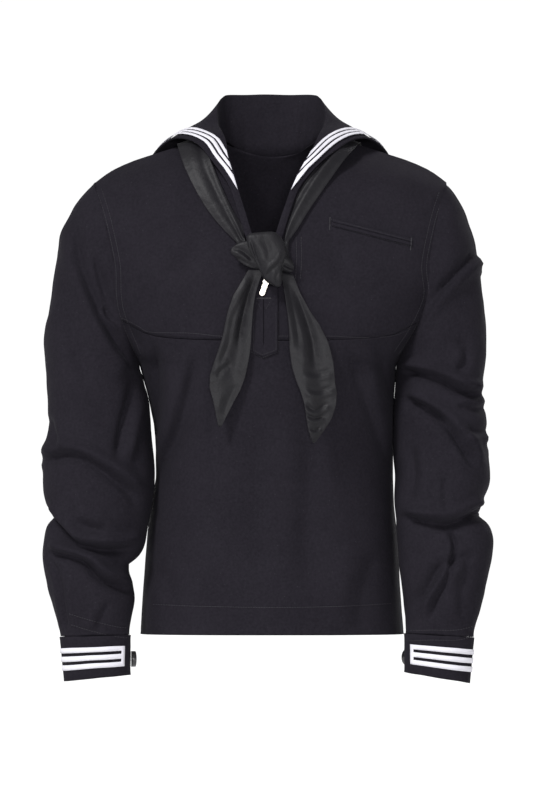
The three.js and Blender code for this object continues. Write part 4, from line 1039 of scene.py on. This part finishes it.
def button(side):
    node = f"button_{side}"
    shape = BUTTON_SHAPE
    low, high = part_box(node)
    places = points_of(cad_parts[node])
    middle = Vector((Vector(low) + Vector(high)) / 2)
    spread = places - places.mean(0)
    thin = Vector(np.linalg.svd(spread, full_matrices=False)[2][2])
    cuff_middle = Vector((sum(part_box(f"cuff_{side}")[k][0] for k in range(2)) / 2,
                          sum(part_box(f"cuff_{side}")[k][1] for k in range(2)) / 2, middle.z))
    if thin.dot(middle - cuff_middle) < 0:
        thin.negate()
    reach = float(np.abs(spread @ np.array(thin)).max())
    radius = float(np.linalg.norm(spread - np.outer(spread @ np.array(thin), np.array(thin)), axis=1).max())
    deselect()
    bpy.ops.mesh.primitive_cylinder_add(vertices=48, radius=radius, depth=2 * reach * shape["thick"])
    disc = bpy.context.object
    disc.name = f"cuff_button_{side}"
    bpy.ops.object.mode_set(mode="EDIT")
    bpy.ops.mesh.select_all(action="DESELECT")
    bpy.ops.object.mode_set(mode="OBJECT")
    for face in disc.data.polygons:
        face.select = face.normal.z > 0.9
    bpy.ops.object.mode_set(mode="EDIT")
    bpy.ops.mesh.select_mode(type="FACE")
    bpy.ops.mesh.inset(thickness=radius * shape["rim"], depth=0)
    bpy.ops.mesh.inset(thickness=radius * shape["slope"], depth=-reach * shape["dish"])
    bpy.ops.mesh.select_all(action="SELECT")
    bpy.ops.mesh.bevel(offset=radius * shape["round"], segments=3, affect="EDGES")
    bpy.ops.object.mode_set(mode="OBJECT")
    for x in (-1, 1):
        for y in (-1, 1):
            deselect()
            place = (x * radius * shape["hole_at"], y * radius * shape["hole_at"], 0)
            bpy.ops.mesh.primitive_cylinder_add(
                vertices=16, radius=radius * shape["hole"], depth=reach * 6, location=place)
            drill = bpy.context.object
            hole = disc.modifiers.new("hole", "BOOLEAN")
            hole.operation = "DIFFERENCE"
            hole.object = drill
            apply_modifiers(disc)
            bpy.data.objects.remove(drill)
    select(disc)
    disc.rotation_mode = "QUATERNION"
    disc.rotation_quaternion = thin.to_track_quat("Z", "Y")
    disc.location = middle
    bpy.ops.object.transform_apply(location=True, rotation=True, scale=True)
    bpy.ops.object.shade_smooth_by_angle(angle=math.radians(35))
    weave_map(disc, flat_weave)
    finish_piece(disc, BUTTON, [node])


button("right")
button("left")

# Zip
for node in ("zip_slider", "zip_pull"):
    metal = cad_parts[node]
    metal.data.materials.clear()
    metal.data.materials.append(METAL)


# Studio: a wide pale floor, soft distant lights, and a white band of sky low all round
FLOOR_Z = -1.45
FLOOR_SIZE = 120
SKY_DIM = 0.35
SKY_WHITE = 1.04
BAND_INNER = 0.1
BAND_OUTER = 0.17


def studio_material():
    material, shader = fresh_material("studio_white")
    place = add(material, "ShaderNodeTexCoord").outputs["Object"]
    tone = unevenness(material, place, 900, 0.93, 0.97)
    colour = add(material, "ShaderNodeCombineColor", {"Red": tone, "Green": tone, "Blue": tone})
    join(material, colour.outputs["Color"], shader.inputs["Base Color"])
    shader.inputs["Roughness"].default_value = 0.95
    shader.inputs["Specular IOR Level"].default_value = 0.1
    return material


def make_stage():
    deselect()
    bpy.ops.mesh.primitive_plane_add(size=FLOOR_SIZE, location=(0, 0, FLOOR_Z))
    floor = bpy.context.object
    floor.name = "floor"
    bpy.ops.object.transform_apply(location=True, rotation=True, scale=True)
    floor.data.materials.append(studio_material())


def distant_light(name, place, spread, strength):
    """A soft light that shines evenly from a direction towards the garment."""
    bpy.ops.object.light_add(type="SUN", location=place)
    light = bpy.context.object
    light.name = name
    light.data.energy = strength
    light.data.angle = math.radians(spread)
    light.rotation_mode = "QUATERNION"
    light.rotation_quaternion = (-Vector(place)).to_track_quat("-Z", "Y")


def make_sky():
    world = bpy.data.worlds.new("studio")
    world.use_nodes = True
    place = add(world, "ShaderNodeTexCoord").outputs["Generated"]
    up = add(world, "ShaderNodeSeparateXYZ", {"Vector": place}).outputs["Z"]
    height = add(world, "ShaderNodeMath", {0: up}, operation="ABSOLUTE").outputs["Value"]
    strength = add(world, "ShaderNodeMapRange", {
        "Value": height, "From Min": BAND_INNER, "From Max": BAND_OUTER, "To Min": SKY_WHITE, "To Max": SKY_DIM})
    background = world.node_tree.nodes["Background"]
    background.inputs["Color"].default_value = (1, 1, 1, 1)
    join(world, strength.outputs["Result"], background.inputs["Strength"])
    bpy.context.scene.world = world


def make_lights():
    distant_light("key", (-1.0, -1.3, 1.75), 12, 3.2)
    distant_light("front", (0.1, -2.2, 0.1), 8, 1.5)
    distant_light("back", (0.9, 1.7, 1.2), 20, 0.9)
    make_sky()


make_stage()
make_lights()
bpy.context.scene.view_settings.view_transform = "Standard"
